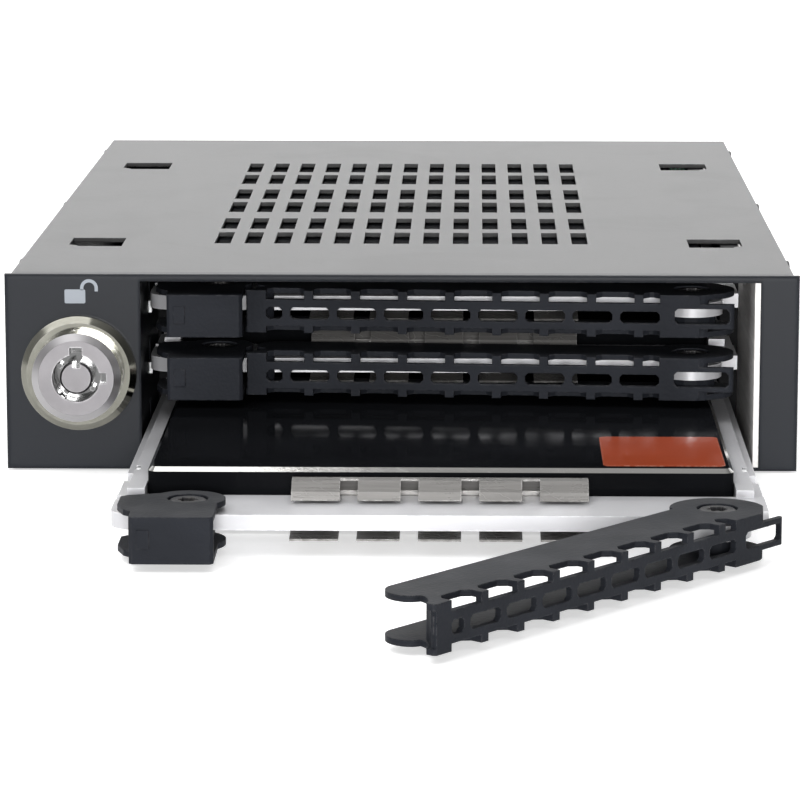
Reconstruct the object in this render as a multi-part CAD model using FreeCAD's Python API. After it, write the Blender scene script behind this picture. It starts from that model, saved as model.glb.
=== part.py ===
import FreeCAD
import Part
import math
import os

# Hot swap drive cage: three slim 2.5 inch drive trays in the space of one 3.5 inch bay device.
# +X is to the right seen from the front, +Y runs from the front to the rear, +Z is up.
# Pieces are drawn with Y = 0 on the front of the bezel and Z = 0 on the underside, then moved by
# set_origin so that the origin is the centre of the four mounting holes in the underside.
# Millimetres throughout.

Vec = FreeCAD.Vector
Y_AXIS = Vec(0, 1, 0)
Z_AXIS = Vec(0, 0, 1)

# ---------------------------------------------------------------- driving dimensions
# drives
DRIVE_WIDTH = 69.85
DRIVE_LENGTH = 100.2
DRIVE_HEIGHT = 7.0
DRIVE_RIM = 0.5
DRIVE_CORNER = 1.2
DRIVE_HOLE_R = 1.5
DRIVE_HOLE_HEIGHT = 3.0
DRIVE_HOLES_FROM_REAR = (14.0, 90.6)
DRIVE_GAP = 0.12

# trays
TRAY_SIDE = 3.425
TRAY_GAP = 1.2
DRIVE_FLOOR = 0.9
BAR_FRONT = 8.0
BAR_DEPTH = 11.0
BAR_TO_DRIVE = 2.0
BAR_HEIGHT = 2.25
BAR_THICK = 1.85
BAR_ROUND = 3.0
RAIL_HEIGHT = 4.0
RAIL_SHORT = 3.2
RAIL_LAP = 0.5
RUNNER_WIDTH = 1.2
RUNNER_THICK = 1.6
RUNNER_PLAY = 0.1
PULL_SHARE = 0.58

# front frame
LEFT_PANEL = 17.4
RIGHT_PANEL = 5.65
MOUTH_LEFT_GAP = 0.4
MOUTH_RIGHT_GAP = 1.45
TOP_LIP = 0.9
CAGE_HEAD = 0.8
BEZEL_SHEET = 0.8
BEZEL_RIM = 0.6
BEZEL_RETURN = 3.2
BEZEL_INSET = 2.2
LIP_RETURN = 1.6
EDGE_ROUND = 0.35

# tub, cover and inner walls
BODY_SHEET = 0.8
BASE_SHEET = 0.5
COVER_SHEET = 0.6
COVER_STEP = 0.3
COVER_FLANGE = 3.0
WALL_SHEET = 0.7
WALL_FOOT = 2.7
WALL_FIT = 0.3
REAR_FRAME = 2.6
REAR_SPACE = 18.8
WALL_TAB = 5.0
WALL_FRONT = 0.2
WALL_FEET = ((0.2, 0.35), (0.5, 0.66))
TAB_INSET = 1.1
COVER_SCREWS = (0.12, 0.5, 0.93)

# mounting holes of a 3.5 inch bay device
SIDE_HOLE_HEIGHT = 6.35
SIDE_HOLES_FROM_REAR = (28.5, 70.1, 130.1)
BOTTOM_HOLE_INSET = 3.175
BOTTOM_HOLE_PITCH = 44.45
BOTTOM_HOLE_FROM_REAR = 41.28
MOUNT_HOLE_R = 1.25
MOUNT_COLLAR_R = 1.8
MOUNT_COLLAR_DEPTH = 1.2
MOUNT_DRILL = 6.0
COLLAR_SIDES = 8

# vents and windows of the cover
VENT_COLUMNS = 13
VENT_ROWS = 6
VENT_WIDTH = 2.16
VENT_LENGTH = 10.5
VENT_FIELD = 0.481
VENT_SHIFT = -0.6
VENT_FRONT_SHARE = 0.238
VENT_PAIR_SHARE = 0.211
VENT_STEP_SHARE = 0.452
WINDOW_INSET = 9.05
WINDOW_WIDTH = 7.2
WINDOW_LENGTH = 7.6
WINDOW_SHARES = (0.2085, 0.7684)
WINDOW_LUG_R = 1.3

# lever
LEVER_FLOOR = 0.8
LEVER_BELOW_DRIVE = 1.5
LEVER_FACE = 5.6
LEVER_WALL = 0.8
LEVER_PLATE = 0.7
LEVER_DEPTH = 9.2
LEVER_TILT = 3.3
LEVER_OPEN = 54.0
LEVER_RIGHT = 1.9
LEVER_LATCH_GAP = 0.4
LEVER_CORNER = 0.25
PIVOT_FROM_EDGE = 6.3
PIVOT_Y = 6.8
BOSS_R = 5.5
LOBE_R = 4.0
WASHER_R = 3.2
WASHER_SIDES = 12
PLAY = 0.1
WINDOW_COUNT = 8
WINDOW_FIRST = 5.8
WINDOW_LAST = 3.02
BRIDGE = 0.99
SLOT_HEIGHT = 1.55
WINDOW_DROP = 0.2
SHORT_WIDTH = 2.1
NOTCH_FIRST = 2.7
NOTCH_BRIDGE = 1.16
NOTCH_HEIGHT = 1.15
NOTCH_LOW = 0.85
NOTCH_DEPTH = 2.2
NOTCH_BEVEL = 0.8
SLOT_BEVEL = 0.4
NOSE_RIGHT = 5.5
NOSE_FLOOR = 1.15
NOSE_HEIGHT = 3.2
NOSE_SLOT = (-2.1, 4.9)
NOSE_SLOT_HEIGHT = 2.0

# latch block
BLOCK_FROM_EDGE = 2.9
BLOCK_WIDTH = 9.7
BLOCK_FRONT = 0.4
BLOCK_WALL = 1.0
BLOCK_EAR = 1.85
LATCH_FROM_EDGE = 9.0
LATCH_Y = 11.0
LATCH_BOSS_R = 4.4

# small screws
SCREW_R = 1.25
SCREW_HEAD_R = 2.2
SCREW_HEAD = 0.6
SCREW_SIDES = 8
SMALL_HEAD_R = 1.9
BOARD_SCREW = 3.4
DRIVE_SCREW = 5.0
RECESS_R = 2.4
HEAD_SUNK = 0.12
HEAD_ROOM = 0.2
BEARING = 0.05

# spring clip across the tray bar
CLIP_SHARE = 0.456
CLIP_SHEET = 0.25
CLIP_SLOTS = 4
CLIP_SLOT = 2.1
CLIP_EDGE = 1.0
CLIP_CREST_BACK = 2.4
CLIP_SAG_BACK = 3.0
CLIP_DROP = 1.35
CLIP_SAG = 0.85
CLIP_LAP = 0.45
CLIP_CREST = 2.2

# key lock
LOCK_FROM_EDGE = 9.5
LOCK_FLANGE_R = 7.4
LOCK_FACE_R = 5.7
LOCK_STAND = 4.6
LOCK_BARREL_R = 5.2
LOCK_BORE_R = 3.05
LOCK_POST_R = 2.1
LOCK_PIN_CIRCLE = 2.55
LOCK_KEYWAY = 3.0
KEYWAY_WIDTH = 1.6
KEYWAY_REACH = 0.9
LOCK_REAR = 15.0
LOCK_NUT = 2.2
LOCK_NUT_AF = 13.0
LOCK_TURN = 90.0
CAM_THICK = 1.2
CAM_R = 3.2
CAM_PIN_REACH = 2.0
CAM_PIN_R = 0.8
CAM_GAP = 0.3
SPIGOT = 2.2
LOCK_BAR_SHEET = 1.2
LOCK_BAR_EDGE = 0.9
TOOTH_HEIGHT = 1.5
TOOTH_GAP = 0.3
TOOTH_NOTCH = 1.4
TOOTH_CLEAR = 0.35
TOOTH_PLAY = 0.4
STUD_R = 1.2
STUD_HEAD_R = 2.0
STUD_STEP = 5.5
BRACKET_FOOT = 9.0

# runner guides, backplane and sockets
GUIDE_FRONT_GAP = 11.0
GUIDE_REAR_GAP = 2.6
GUIDE_LIP = 1.25
GUIDE_CLEAR = 0.25
GUIDE_FLARE = 0.9
GUIDE_LEAD = 2.2
BOARD_GAP = 5.4
BOARD_THICK = 1.6
BOARD_FIT = 0.3
AIR_SLOT = 7.0
AIR_SLOT_SHARE = 0.36
SOCKET_SHARE = 0.478
SOCKET_HEIGHT = 4.2
SOCKET_REACH = 4.6
SOCKET_OFFSET = -3.6
SOCKET_LIFT = 0.2
SOCKET_FLANGE = 3.0
SOCKET_STEP = 0.3
PLUG_PLAY = 0.4
PLUG_GAP = 1.3
PLUG_BLADE = 0.9
SOCKET_WELLS = ((0.036, 0.31), (0.437, 0.527))
DATA_SOCKET_PITCH = 24.0
DATA_SOCKET = (16.5, 8.4, 5.6)
POWER_SOCKET = (27.0, 8.4, 5.6)
REAR_SOCKET_INSET = 5.1
SHELL_WALL = 1.1
SHELL_BACK = 2.4

TRAYS = ("lower", "middle", "upper")

# ---------------------------------------------------------------- derived sizes
# across: the drive's width sets the trays, the mouth and the whole cage
TRAY_WIDTH = DRIVE_WIDTH + 2 * TRAY_SIDE
MOUTH_WIDTH = MOUTH_LEFT_GAP + TRAY_WIDTH + MOUTH_RIGHT_GAP
BEZEL_WIDTH = LEFT_PANEL + MOUTH_WIDTH + RIGHT_PANEL
BODY_WIDTH = BEZEL_WIDTH - 2 * BEZEL_RIM
HALF_BEZEL = BEZEL_WIDTH / 2
HALF_BODY = BODY_WIDTH / 2
WALL_INNER = HALF_BODY - BODY_SHEET
OPENING_LEFT = -HALF_BEZEL + LEFT_PANEL
OPENING_RIGHT = OPENING_LEFT + MOUTH_WIDTH
TRAY_LEFT = OPENING_LEFT + MOUTH_LEFT_GAP
TRAY_RIGHT = TRAY_LEFT + TRAY_WIDTH
TRAY_CENTRE_X = TRAY_LEFT + TRAY_WIDTH / 2
DRIVE_LEFT = TRAY_CENTRE_X - DRIVE_WIDTH / 2
DRIVE_RIGHT = TRAY_CENTRE_X + DRIVE_WIDTH / 2
LEFT_WALL_FACE = OPENING_LEFT - WALL_FIT
LEFT_WALL_BACK = LEFT_WALL_FACE - WALL_SHEET
PIVOT_X = TRAY_RIGHT - PIVOT_FROM_EDGE
LATCH_X = TRAY_LEFT + LATCH_FROM_EDGE
BLOCK_LEFT = TRAY_LEFT + BLOCK_FROM_EDGE
BLOCK_RIGHT = BLOCK_LEFT + BLOCK_WIDTH
LEVER_LENGTH = PIVOT_X - BLOCK_RIGHT - LEVER_LATCH_GAP
CLIP_WIDTH = TRAY_WIDTH * CLIP_SHARE
CLIP_PITCH = (CLIP_WIDTH - CLIP_SLOT) / (CLIP_SLOTS + 0.6)
SOCKET_WIDTH = DRIVE_WIDTH * SOCKET_SHARE
LOCK_X = -HALF_BEZEL + LOCK_FROM_EDGE
BOTTOM_HOLE_SPAN = BEZEL_WIDTH - 2 * BOTTOM_HOLE_INSET
VENT_PITCH = BODY_WIDTH * VENT_FIELD / (VENT_COLUMNS - 1)
WINDOW_X = HALF_BEZEL - WINDOW_INSET

# upwards: the drive's height sets the pitch of the trays and the height of the cage
TRAY_PITCH = DRIVE_HEIGHT + TRAY_GAP
BEZEL_HEIGHT = len(TRAYS) * TRAY_PITCH + CAGE_HEAD
COVER_TOP = BEZEL_HEIGHT - COVER_STEP
COVER_UNDER = COVER_TOP - COVER_SHEET
LEVER_HEIGHT = DRIVE_HEIGHT - LEVER_BELOW_DRIVE
LOCK_Z = BEZEL_HEIGHT / 2
STUD_HEIGHTS = (LOCK_Z - STUD_STEP, LOCK_Z + STUD_STEP)

# backwards: the drive's length sets the rails, the board and the depth
BAR_REAR = BAR_FRONT + BAR_DEPTH
DRIVE_FRONT = BAR_REAR + BAR_TO_DRIVE
DRIVE_REAR = DRIVE_FRONT + DRIVE_LENGTH
RAIL_REAR = DRIVE_REAR - RAIL_SHORT
GUIDE_FRONT = DRIVE_FRONT + GUIDE_FRONT_GAP
BOARD_FRONT = DRIVE_REAR + BOARD_GAP
BOARD_REAR = BOARD_FRONT + BOARD_THICK
GUIDE_REAR = BOARD_FRONT - GUIDE_REAR_GAP
DEPTH = BOARD_REAR + REAR_SPACE
PULL_OUT = DRIVE_LENGTH * PULL_SHARE
CAM_FRONT = LOCK_REAR + CAM_GAP
CAM_REAR = CAM_FRONT + CAM_THICK
LOCK_BAR_FRONT = CAM_REAR + CAM_GAP
LOCK_BAR_REAR = LOCK_BAR_FRONT + LOCK_BAR_SHEET
BRACKET_FRONT = LOCK_BAR_REAR + 2 * CAM_GAP
LOCK_BAR_TRAVEL = 2 * CAM_PIN_REACH * math.sin(math.radians(LOCK_TURN / 2))
LOCK_BAR_RIGHT = LEFT_WALL_BACK - WALL_FIT
LOCK_BAR_LEFT = LOCK_X - (LOCK_BAR_RIGHT - LOCK_X) + LOCK_BAR_EDGE
ORIGIN_Y = DEPTH - BOTTOM_HOLE_FROM_REAR - BOTTOM_HOLE_PITCH / 2


# ---------------------------------------------------------------- helpers
def block(x0, x1, y0, y1, z0, z1):
    """A box between two corners."""
    return Part.makeBox(x1 - x0, y1 - y0, z1 - z0, Vec(x0, y0, z0))


def rod(r, start, end):
    """A solid cylinder of radius r between two points."""
    a = Vec(*start)
    way = Vec(*end) - a
    return Part.makeCylinder(r, way.Length, a, way)


def join(pieces):
    """Fuse a list of solids into one clean solid."""
    whole = pieces[0]
    if len(pieces) > 1:
        whole = pieces[0].multiFuse(pieces[1:])
    return whole.removeSplitter()


def polygon(points, z0, z1):
    """A prism on a closed outline of (x, y) points."""
    ring = [Vec(x, y, z0) for x, y in points]
    wire = Part.makePolygon(ring + [ring[0]])
    return Part.Face(wire).extrude(Vec(0, 0, z1 - z0))


def upright_edges(shape, keep):
    """The straight upright edges whose place passes the test keep(x, y)."""
    edges = []
    for edge in shape.Edges:
        a = edge.Vertexes[0].Point
        b = edge.Vertexes[-1].Point
        upright = abs(a.x - b.x) < 1e-6 and abs(a.y - b.y) < 1e-6 and abs(a.z - b.z) > 1e-3
        if upright and keep(a.x, a.y):
            edges.append(edge)
    return edges


def slot_cutter(x0, x1, y0, y1, z0, z1, r):
    """A box along Y whose four long edges are bevelled, to cut a window in a front wall."""
    body = block(x0, x1, y0, y1, z0, z1)
    along = [e for e in body.Edges if abs(e.Vertexes[0].Point.y - e.Vertexes[-1].Point.y) > 1e-3]
    return body.makeChamfer(r, along)


def prism(sides, r, start, end):
    """A regular prism between two points, with its corners on radius r."""
    a = Vec(*start)
    way = Vec(*end) - a
    turn = FreeCAD.Rotation(Z_AXIS, way)
    ring = []
    for k in range(sides):
        angle = 2 * math.pi * (k + 0.5) / sides
        ring.append(a + turn.multVec(Vec(r * math.cos(angle), r * math.sin(angle), 0)))
    return Part.Face(Part.makePolygon(ring + [ring[0]])).extrude(way)


def small_screw(head_at, way, length, head_r, shank_r):
    """A flat-headed screw: the top of its head lies at head_at and its shank runs along way."""
    a = Vec(*head_at)
    d = Vec(*way)
    neck = a + d * SCREW_HEAD
    head = prism(SCREW_SIDES, head_r, a, neck)
    return join([head, prism(SCREW_SIDES, shank_r, neck, a + d * length)])


def tray_floor(level):
    """How far tray number level stands above the lowest one."""
    return TRAY_PITCH * level


# ---------------------------------------------------------------- cage
def bezel():
    """The painted front frame: two side panels, a top lip and a low sill, with folded returns."""
    sill = BASE_SHEET
    sheet = block(-HALF_BEZEL, HALF_BEZEL, 0, BEZEL_SHEET, 0, BEZEL_HEIGHT)
    sheet = round_front(sheet)
    right = OPENING_RIGHT + WALL_SHEET
    mouth = block(OPENING_LEFT, right, -1, 2, sill, BEZEL_HEIGHT - TOP_LIP)
    frame = sheet.cut(mouth)
    rear = BEZEL_SHEET + BEZEL_RETURN
    low = BEZEL_INSET
    high = BEZEL_HEIGHT - BEZEL_INSET
    edge = HALF_BODY - BEZEL_RIM
    returns = [
        block(-HALF_BEZEL, -HALF_BODY, BEZEL_SHEET, rear, low, high),
        block(HALF_BODY, HALF_BEZEL, BEZEL_SHEET, rear, low, high),
        block(-edge, edge, BEZEL_SHEET, BEZEL_SHEET + LIP_RETURN, COVER_TOP, BEZEL_HEIGHT),
    ]
    frame = join([frame] + returns)
    return frame.cut(rod(LOCK_BARREL_R + PLAY, (LOCK_X, -1, LOCK_Z), (LOCK_X, 3, LOCK_Z)))


def round_front(sheet):
    """Round the outer front edges and the corners of the bezel sheet."""
    edges = []
    for e in sheet.Edges:
        a = e.Vertexes[0].Point
        b = e.Vertexes[-1].Point
        if a.y < 1e-6 and b.y < 1e-6:
            edges.append(e)
    return sheet.makeFillet(EDGE_ROUND, edges)


def mount_collar(centre, way):
    """A formed collar round a threaded hole, standing inwards from the sheet."""
    a = Vec(*centre)
    return prism(COLLAR_SIDES, MOUNT_COLLAR_R, a, a + Vec(*way) * MOUNT_COLLAR_DEPTH)


def mount_hole(centre, way):
    """The cutter of one threaded mounting hole, from outside the sheet through its collar."""
    a = Vec(*centre)
    d = Vec(*way)
    return rod(MOUNT_HOLE_R, a - d, a + d * MOUNT_DRILL)


def bottom_chassis():
    """The folded tub: floor, two sides and a rear frame round the cable window."""
    floor = block(-HALF_BODY, HALF_BODY, BEZEL_SHEET, DEPTH, 0, BASE_SHEET)
    sides = []
    for sign in (-1, 1):
        x0, x1 = sorted((sign * WALL_INNER, sign * HALF_BODY))
        sides.append(block(x0, x1, BEZEL_SHEET, DEPTH, 0, COVER_UNDER))
    rear = block(-HALF_BODY, HALF_BODY, DEPTH - BODY_SHEET, DEPTH, 0, COVER_UNDER)
    window = block(TRAY_LEFT, TRAY_RIGHT, DEPTH - 3, DEPTH + 1, REAR_FRAME, COVER_UNDER - REAR_FRAME)
    collars = []
    holes = []
    for sign in (-1, 1):
        for back in SIDE_HOLES_FROM_REAR:
            y = DEPTH - back
            collars.append(mount_collar((sign * WALL_INNER, y, SIDE_HOLE_HEIGHT), (-sign, 0, 0)))
            holes.append(mount_hole((sign * HALF_BODY, y, SIDE_HOLE_HEIGHT), (-sign, 0, 0)))
        for step in (0, BOTTOM_HOLE_PITCH):
            y = DEPTH - BOTTOM_HOLE_FROM_REAR - step
            x = sign * BOTTOM_HOLE_SPAN / 2
            collars.append(mount_collar((x, y, BASE_SHEET), (0, 0, 1)))
            holes.append(mount_hole((x, y, 0), (0, 0, 1)))
    for x, y, z, sign in cover_screw_places():
        holes.append(prism(SCREW_SIDES, SCREW_R, (sign * (HALF_BODY + 1), y, z),
                           (sign * (WALL_INNER - 0.5), y, z)))
    tub = join([floor, rear.cut(window)] + sides + collars)
    return tub.cut(Part.makeCompound(holes))


def cover_screw_places():
    """Where the cover's screws go through the sides of the tub."""
    z = COVER_UNDER - COVER_FLANGE / 2
    places = []
    for sign in (-1, 1):
        for share in COVER_SCREWS:
            places.append((sign * HALF_BODY, DEPTH * share, z, sign))
    return places


def top_cover():
    """The flat cover with its vent field, four corner windows and tucked-in side flanges."""
    plate = block(-HALF_BODY, HALF_BODY, BEZEL_SHEET, DEPTH, COVER_UNDER, COVER_TOP)
    flanges = []
    for sign in (-1, 1):
        x0, x1 = sorted((sign * (WALL_INNER - COVER_SHEET), sign * WALL_INNER))
        flanges.append(block(x0, x1, BEZEL_SHEET + 1, DEPTH - 2, COVER_UNDER - COVER_FLANGE, COVER_UNDER))
    cover = join([plate] + flanges)
    cuts = []
    for column in range(VENT_COLUMNS):
        x = VENT_SHIFT + (column - (VENT_COLUMNS - 1) / 2) * VENT_PITCH
        for row in range(VENT_ROWS):
            pairs = row // 2 + (row % 2) * VENT_STEP_SHARE
            y = DEPTH * (VENT_FRONT_SHARE + VENT_PAIR_SHARE * pairs)
            cuts.append(block(x - VENT_WIDTH / 2, x + VENT_WIDTH / 2, y - VENT_LENGTH / 2,
                              y + VENT_LENGTH / 2, COVER_UNDER - 1, COVER_TOP + 1))
    for sign in (-1, 1):
        for share in WINDOW_SHARES:
            cuts.append(corner_window(sign, DEPTH * share))
    for x, y, z, sign in cover_screw_places():
        cuts.append(prism(SCREW_SIDES, SCREW_R, (sign * HALF_BODY, y, z), (sign * (WALL_INNER - 2), y, z)))
    return cover.cut(Part.makeCompound(cuts))


def corner_window(sign, y):
    """A window through the cover, less the round lug at its outer front corner."""
    x0 = sign * WINDOW_X - WINDOW_WIDTH / 2
    y0 = y - WINDOW_LENGTH / 2
    cutter = block(x0, x0 + WINDOW_WIDTH, y0, y0 + WINDOW_LENGTH, COVER_UNDER - 1, COVER_TOP + 1)
    lug_x = sign * (WINDOW_X + WINDOW_WIDTH / 2)
    lug = prism(WASHER_SIDES, WINDOW_LUG_R, (lug_x, y0, COVER_UNDER - 2), (lug_x, y0, COVER_TOP + 2))
    return cutter.cut(lug)


def cover_screws():
    """Six small screws that hold the cover's flanges to the sides."""
    screws = []
    for x, y, z, sign in cover_screw_places():
        head_at = (x + sign * SCREW_HEAD, y, z)
        length = SCREW_HEAD + BODY_SHEET + COVER_SHEET
        screws.append(small_screw(head_at, (-sign, 0, 0), length, SMALL_HEAD_R, SCREW_R - BEARING))
    return Part.makeCompound(screws)


def wall_face(side):
    return OPENING_RIGHT if side == "right" else LEFT_WALL_FACE


def side_wall(side):
    """A bright inner wall with feet to the floor and the cover and tabs that hold the board."""
    sign = -1 if side == "left" else 1
    face = wall_face(side)
    back = face + sign * WALL_SHEET
    x0, x1 = sorted((face, back))
    rear = BOARD_REAR + WALL_SHEET
    z1 = COVER_UNDER
    front = BEZEL_SHEET + WALL_FRONT
    sheet = block(x0, x1, front, rear, BASE_SHEET, z1)
    if side == "right":
        sheet = sheet.fuse(block(x0, x1, WALL_FRONT, front + 1, BASE_SHEET, BEZEL_HEIGHT - TOP_LIP))
    f0, f1 = sorted((back, back + sign * WALL_FOOT))
    feet = []
    for start, end in WALL_FEET:
        for z in (BASE_SHEET, z1 - WALL_SHEET):
            feet.append(block(f0, f1, DEPTH * start, DEPTH * end, z, z + WALL_SHEET))
    t0, t1 = sorted((face, face - sign * WALL_TAB * 0.9))
    tabs = []
    for z in board_screw_heights():
        tabs.append(block(t0, t1, BOARD_REAR, rear, z - WALL_TAB / 2, z + WALL_TAB / 2))
    wall = join([sheet] + feet + tabs)
    cuts = [prism(SCREW_SIDES, SCREW_R, (x, rear - 4, z), (x, rear + 4, z))
            for x, z in board_screw_places(side)]
    if side == "left":
        for level in range(len(TRAYS)):
            low = tooth_floor(level) - TOOTH_PLAY
            high = tooth_floor(level) + TOOTH_HEIGHT + LOCK_BAR_TRAVEL + TOOTH_PLAY
            cuts.append(block(x0 - 1, x1 + 1, LOCK_BAR_FRONT - TOOTH_PLAY, LOCK_BAR_REAR + TOOTH_PLAY,
                              low, high))
    return wall.cut(Part.makeCompound(cuts))


def board_screw_heights():
    up = WALL_TAB / 2 + TAB_INSET
    return (BASE_SHEET + up, COVER_UNDER - up)


def board_screw_places(side):
    """Screws through the board's corners into the wall tabs."""
    inward = -1 if side == "right" else 1
    x = wall_face(side) + inward * (SMALL_HEAD_R + 0.5)
    return [(x, z) for z in board_screw_heights()]


def runner_guide(side):
    """A moulded guide with one groove for each tray's runner."""
    sign = -1 if side == "left" else 1
    edge = TRAY_RIGHT if side == "right" else TRAY_LEFT
    root = edge + sign * GUIDE_CLEAR
    lip = root - sign * GUIDE_LIP
    x0, x1 = sorted((lip, wall_face(side)))
    body = block(x0, x1, GUIDE_FRONT, GUIDE_REAR, BASE_SHEET + 0.1, COVER_UNDER - 0.1)
    g0, g1 = sorted((lip - sign * 1, root))
    grooves = []
    for level in range(len(TRAYS)):
        low = runner_floor(level) - RUNNER_PLAY
        high = low + RUNNER_THICK + 2 * RUNNER_PLAY
        narrow = GUIDE_FRONT + GUIDE_LEAD
        mouth = [(GUIDE_FRONT - 1, low - GUIDE_FLARE), (GUIDE_FRONT - 1, high + GUIDE_FLARE),
                 (narrow, high), (GUIDE_REAR + 1, high), (GUIDE_REAR + 1, low), (narrow, low)]
        ring = [Vec(g0, y, z) for y, z in mouth]
        face = Part.Face(Part.makePolygon(ring + [ring[0]]))
        grooves.append(face.extrude(Vec(g1 - g0, 0, 0)))
    return body.cut(Part.makeCompound(grooves)).removeSplitter()


def backplane_board():
    """The upright circuit board behind the trays, with air slots and four screw holes."""
    x0 = LEFT_WALL_FACE + PLAY
    x1 = OPENING_RIGHT - PLAY
    board = block(x0, x1, BOARD_FRONT, BOARD_REAR, BASE_SHEET + BOARD_FIT, COVER_UNDER - BOARD_FIT)
    cuts = []
    for side in ("left", "right"):
        for x, z in board_screw_places(side):
            cuts.append(prism(SCREW_SIDES, SCREW_R, (x, BOARD_FRONT - 1, z), (x, BOARD_FRONT + 3, z)))
    for sign in (-1, 1):
        x = TRAY_CENTRE_X + sign * TRAY_WIDTH * AIR_SLOT_SHARE
        for gap in range(len(TRAYS) - 1):
            z = DRIVE_FLOOR + DRIVE_HEIGHT + TRAY_GAP / 2 + tray_floor(gap)
            cuts.append(block(x - AIR_SLOT / 2, x + AIR_SLOT / 2, BOARD_FRONT - 1, BOARD_REAR + 1,
                              z - TRAY_GAP, z + TRAY_GAP))
    return board.cut(Part.makeCompound(cuts))


def board_screws():
    screws = []
    for side in ("left", "right"):
        for x, z in board_screw_places(side):
            head_at = (x, BOARD_FRONT - SCREW_HEAD, z)
            screws.append(small_screw(head_at, (0, 1, 0), BOARD_SCREW, SMALL_HEAD_R, SCREW_R - BEARING))
    return Part.makeCompound(screws)


def socket_height(level):
    """Middle height of a drive's plug."""
    return DRIVE_FLOOR + tray_floor(level) + DRIVE_HOLE_HEIGHT + SOCKET_LIFT


def drive_socket(level):
    """The plug-in socket of one drive, standing on the front of the board."""
    x = TRAY_CENTRE_X + SOCKET_OFFSET
    z = socket_height(level)
    half = SOCKET_WIDTH / 2
    tip = DRIVE_REAR - SOCKET_REACH
    tall = SOCKET_HEIGHT / 2
    base = block(x - half - SOCKET_FLANGE, x + half + SOCKET_FLANGE, DRIVE_REAR + 2 * SOCKET_STEP,
                 BOARD_FRONT, z - tall, z + tall)
    nose = block(x - half, x + half, tip, BOARD_FRONT, z - tall + SOCKET_STEP, z + tall - SOCKET_STEP)
    gaps = []
    for start, width in SOCKET_WELLS:
        left = x - half + start * SOCKET_WIDTH
        right = left + width * SOCKET_WIDTH
        gaps.append(block(left, right, tip - 1, tip + SOCKET_REACH - PLUG_PLAY, z - PLUG_GAP / 2,
                          z + PLUG_GAP / 2))
    return join([base, nose]).cut(Part.makeCompound(gaps))


def cable_socket(x, z, size):
    """An upright plug-in socket on the rear of the board, with its contact blade."""
    width, reach, height = size
    y0 = BOARD_REAR
    half = width / 2
    tall = height / 2
    shell = block(x - half, x + half, y0, y0 + reach, z - tall, z + tall)
    well = block(x - half + SHELL_WALL, x + half - SHELL_WALL, y0 + SHELL_BACK, y0 + reach + 1,
                 z - tall + SHELL_WALL, z + tall - SHELL_WALL)
    blade = block(x - half + 2.4, x + half - 4.2, y0 + SHELL_BACK, y0 + reach - 0.6, z - 0.2, z + 1.0)
    return shell.cut(well).fuse(blade).removeSplitter()


# ---------------------------------------------------------------- key lock and tray lock bar
def tooth_floor(level):
    """Underside of a locking tooth at rest, in the gap below a tray's bar."""
    return bar_floor(level) - TOOTH_GAP - TOOTH_HEIGHT


def turned_ring(profile):
    """Revolve a closed (radius, y) outline about the lock's axis."""
    ring = [Vec(r, y, 0) for r, y in profile]
    body = Part.Face(Part.makePolygon(ring + [ring[0]])).revolve(Vec(0, 0, 0), Y_AXIS, 360)
    body.translate(Vec(LOCK_X, 0, LOCK_Z))
    return body


def lock_housing():
    """The lock's housing: flange, tapered front ring and barrel, bored for the core."""
    face_y = -LOCK_STAND
    body = turned_ring([
        (LOCK_BORE_R, face_y), (LOCK_FACE_R - 0.9, face_y), (LOCK_FACE_R, face_y + 0.5),
        (LOCK_FACE_R, -1.5), (LOCK_FLANGE_R - 0.8, -1.5), (LOCK_FLANGE_R, -0.9), (LOCK_FLANGE_R, 0),
        (LOCK_BARREL_R, 0), (LOCK_BARREL_R, LOCK_REAR), (LOCK_BORE_R, LOCK_REAR)])
    half = KEYWAY_WIDTH / 2
    key_way = block(LOCK_X - half, LOCK_X + half, face_y - 1, face_y + LOCK_KEYWAY,
                    LOCK_Z + LOCK_POST_R, LOCK_Z + LOCK_BORE_R + KEYWAY_REACH)
    side_way = block(LOCK_X + LOCK_POST_R, LOCK_X + LOCK_BORE_R + half, face_y - 1, face_y + 1.2,
                     LOCK_Z - 0.7, LOCK_Z + 0.7)
    return body.cut(key_way).cut(side_way)


def lock_core():
    """The turning core: a post in the ring-shaped keyway, its pins, and a shaft to the cam."""
    face_y = -LOCK_STAND
    floor_y = face_y + LOCK_KEYWAY
    post = rod(LOCK_POST_R, (LOCK_X, face_y + 0.25, LOCK_Z), (LOCK_X, floor_y, LOCK_Z))
    post = post.makeChamfer(0.25, [e for e in post.Edges if e.BoundBox.YMax < face_y + 0.3])
    notch = block(LOCK_X - 0.5, LOCK_X + 0.5, face_y, floor_y, LOCK_Z + LOCK_POST_R - 0.8,
                  LOCK_Z + LOCK_POST_R + 1)
    shaft = rod(LOCK_BORE_R - BEARING, (LOCK_X, floor_y, LOCK_Z), (LOCK_X, CAM_FRONT, LOCK_Z))
    pieces = [post.cut(notch), shaft, spigot(0)]
    for angle in (130, 215, 300):
        a = math.radians(angle)
        x = LOCK_X + LOCK_PIN_CIRCLE * math.sin(a)
        z = LOCK_Z + LOCK_PIN_CIRCLE * math.cos(a)
        pieces.append(prism(6, 0.38, (x, floor_y - 1.2, z), (x, floor_y + 0.1, z)))
    return join(pieces)


def spigot(extra):
    """The square end of the core, or with extra the cutter for its seat."""
    half = SPIGOT / 2
    return block(LOCK_X - half, LOCK_X + half, CAM_FRONT - extra, CAM_REAR + extra,
                 LOCK_Z - half, LOCK_Z + half)


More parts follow.
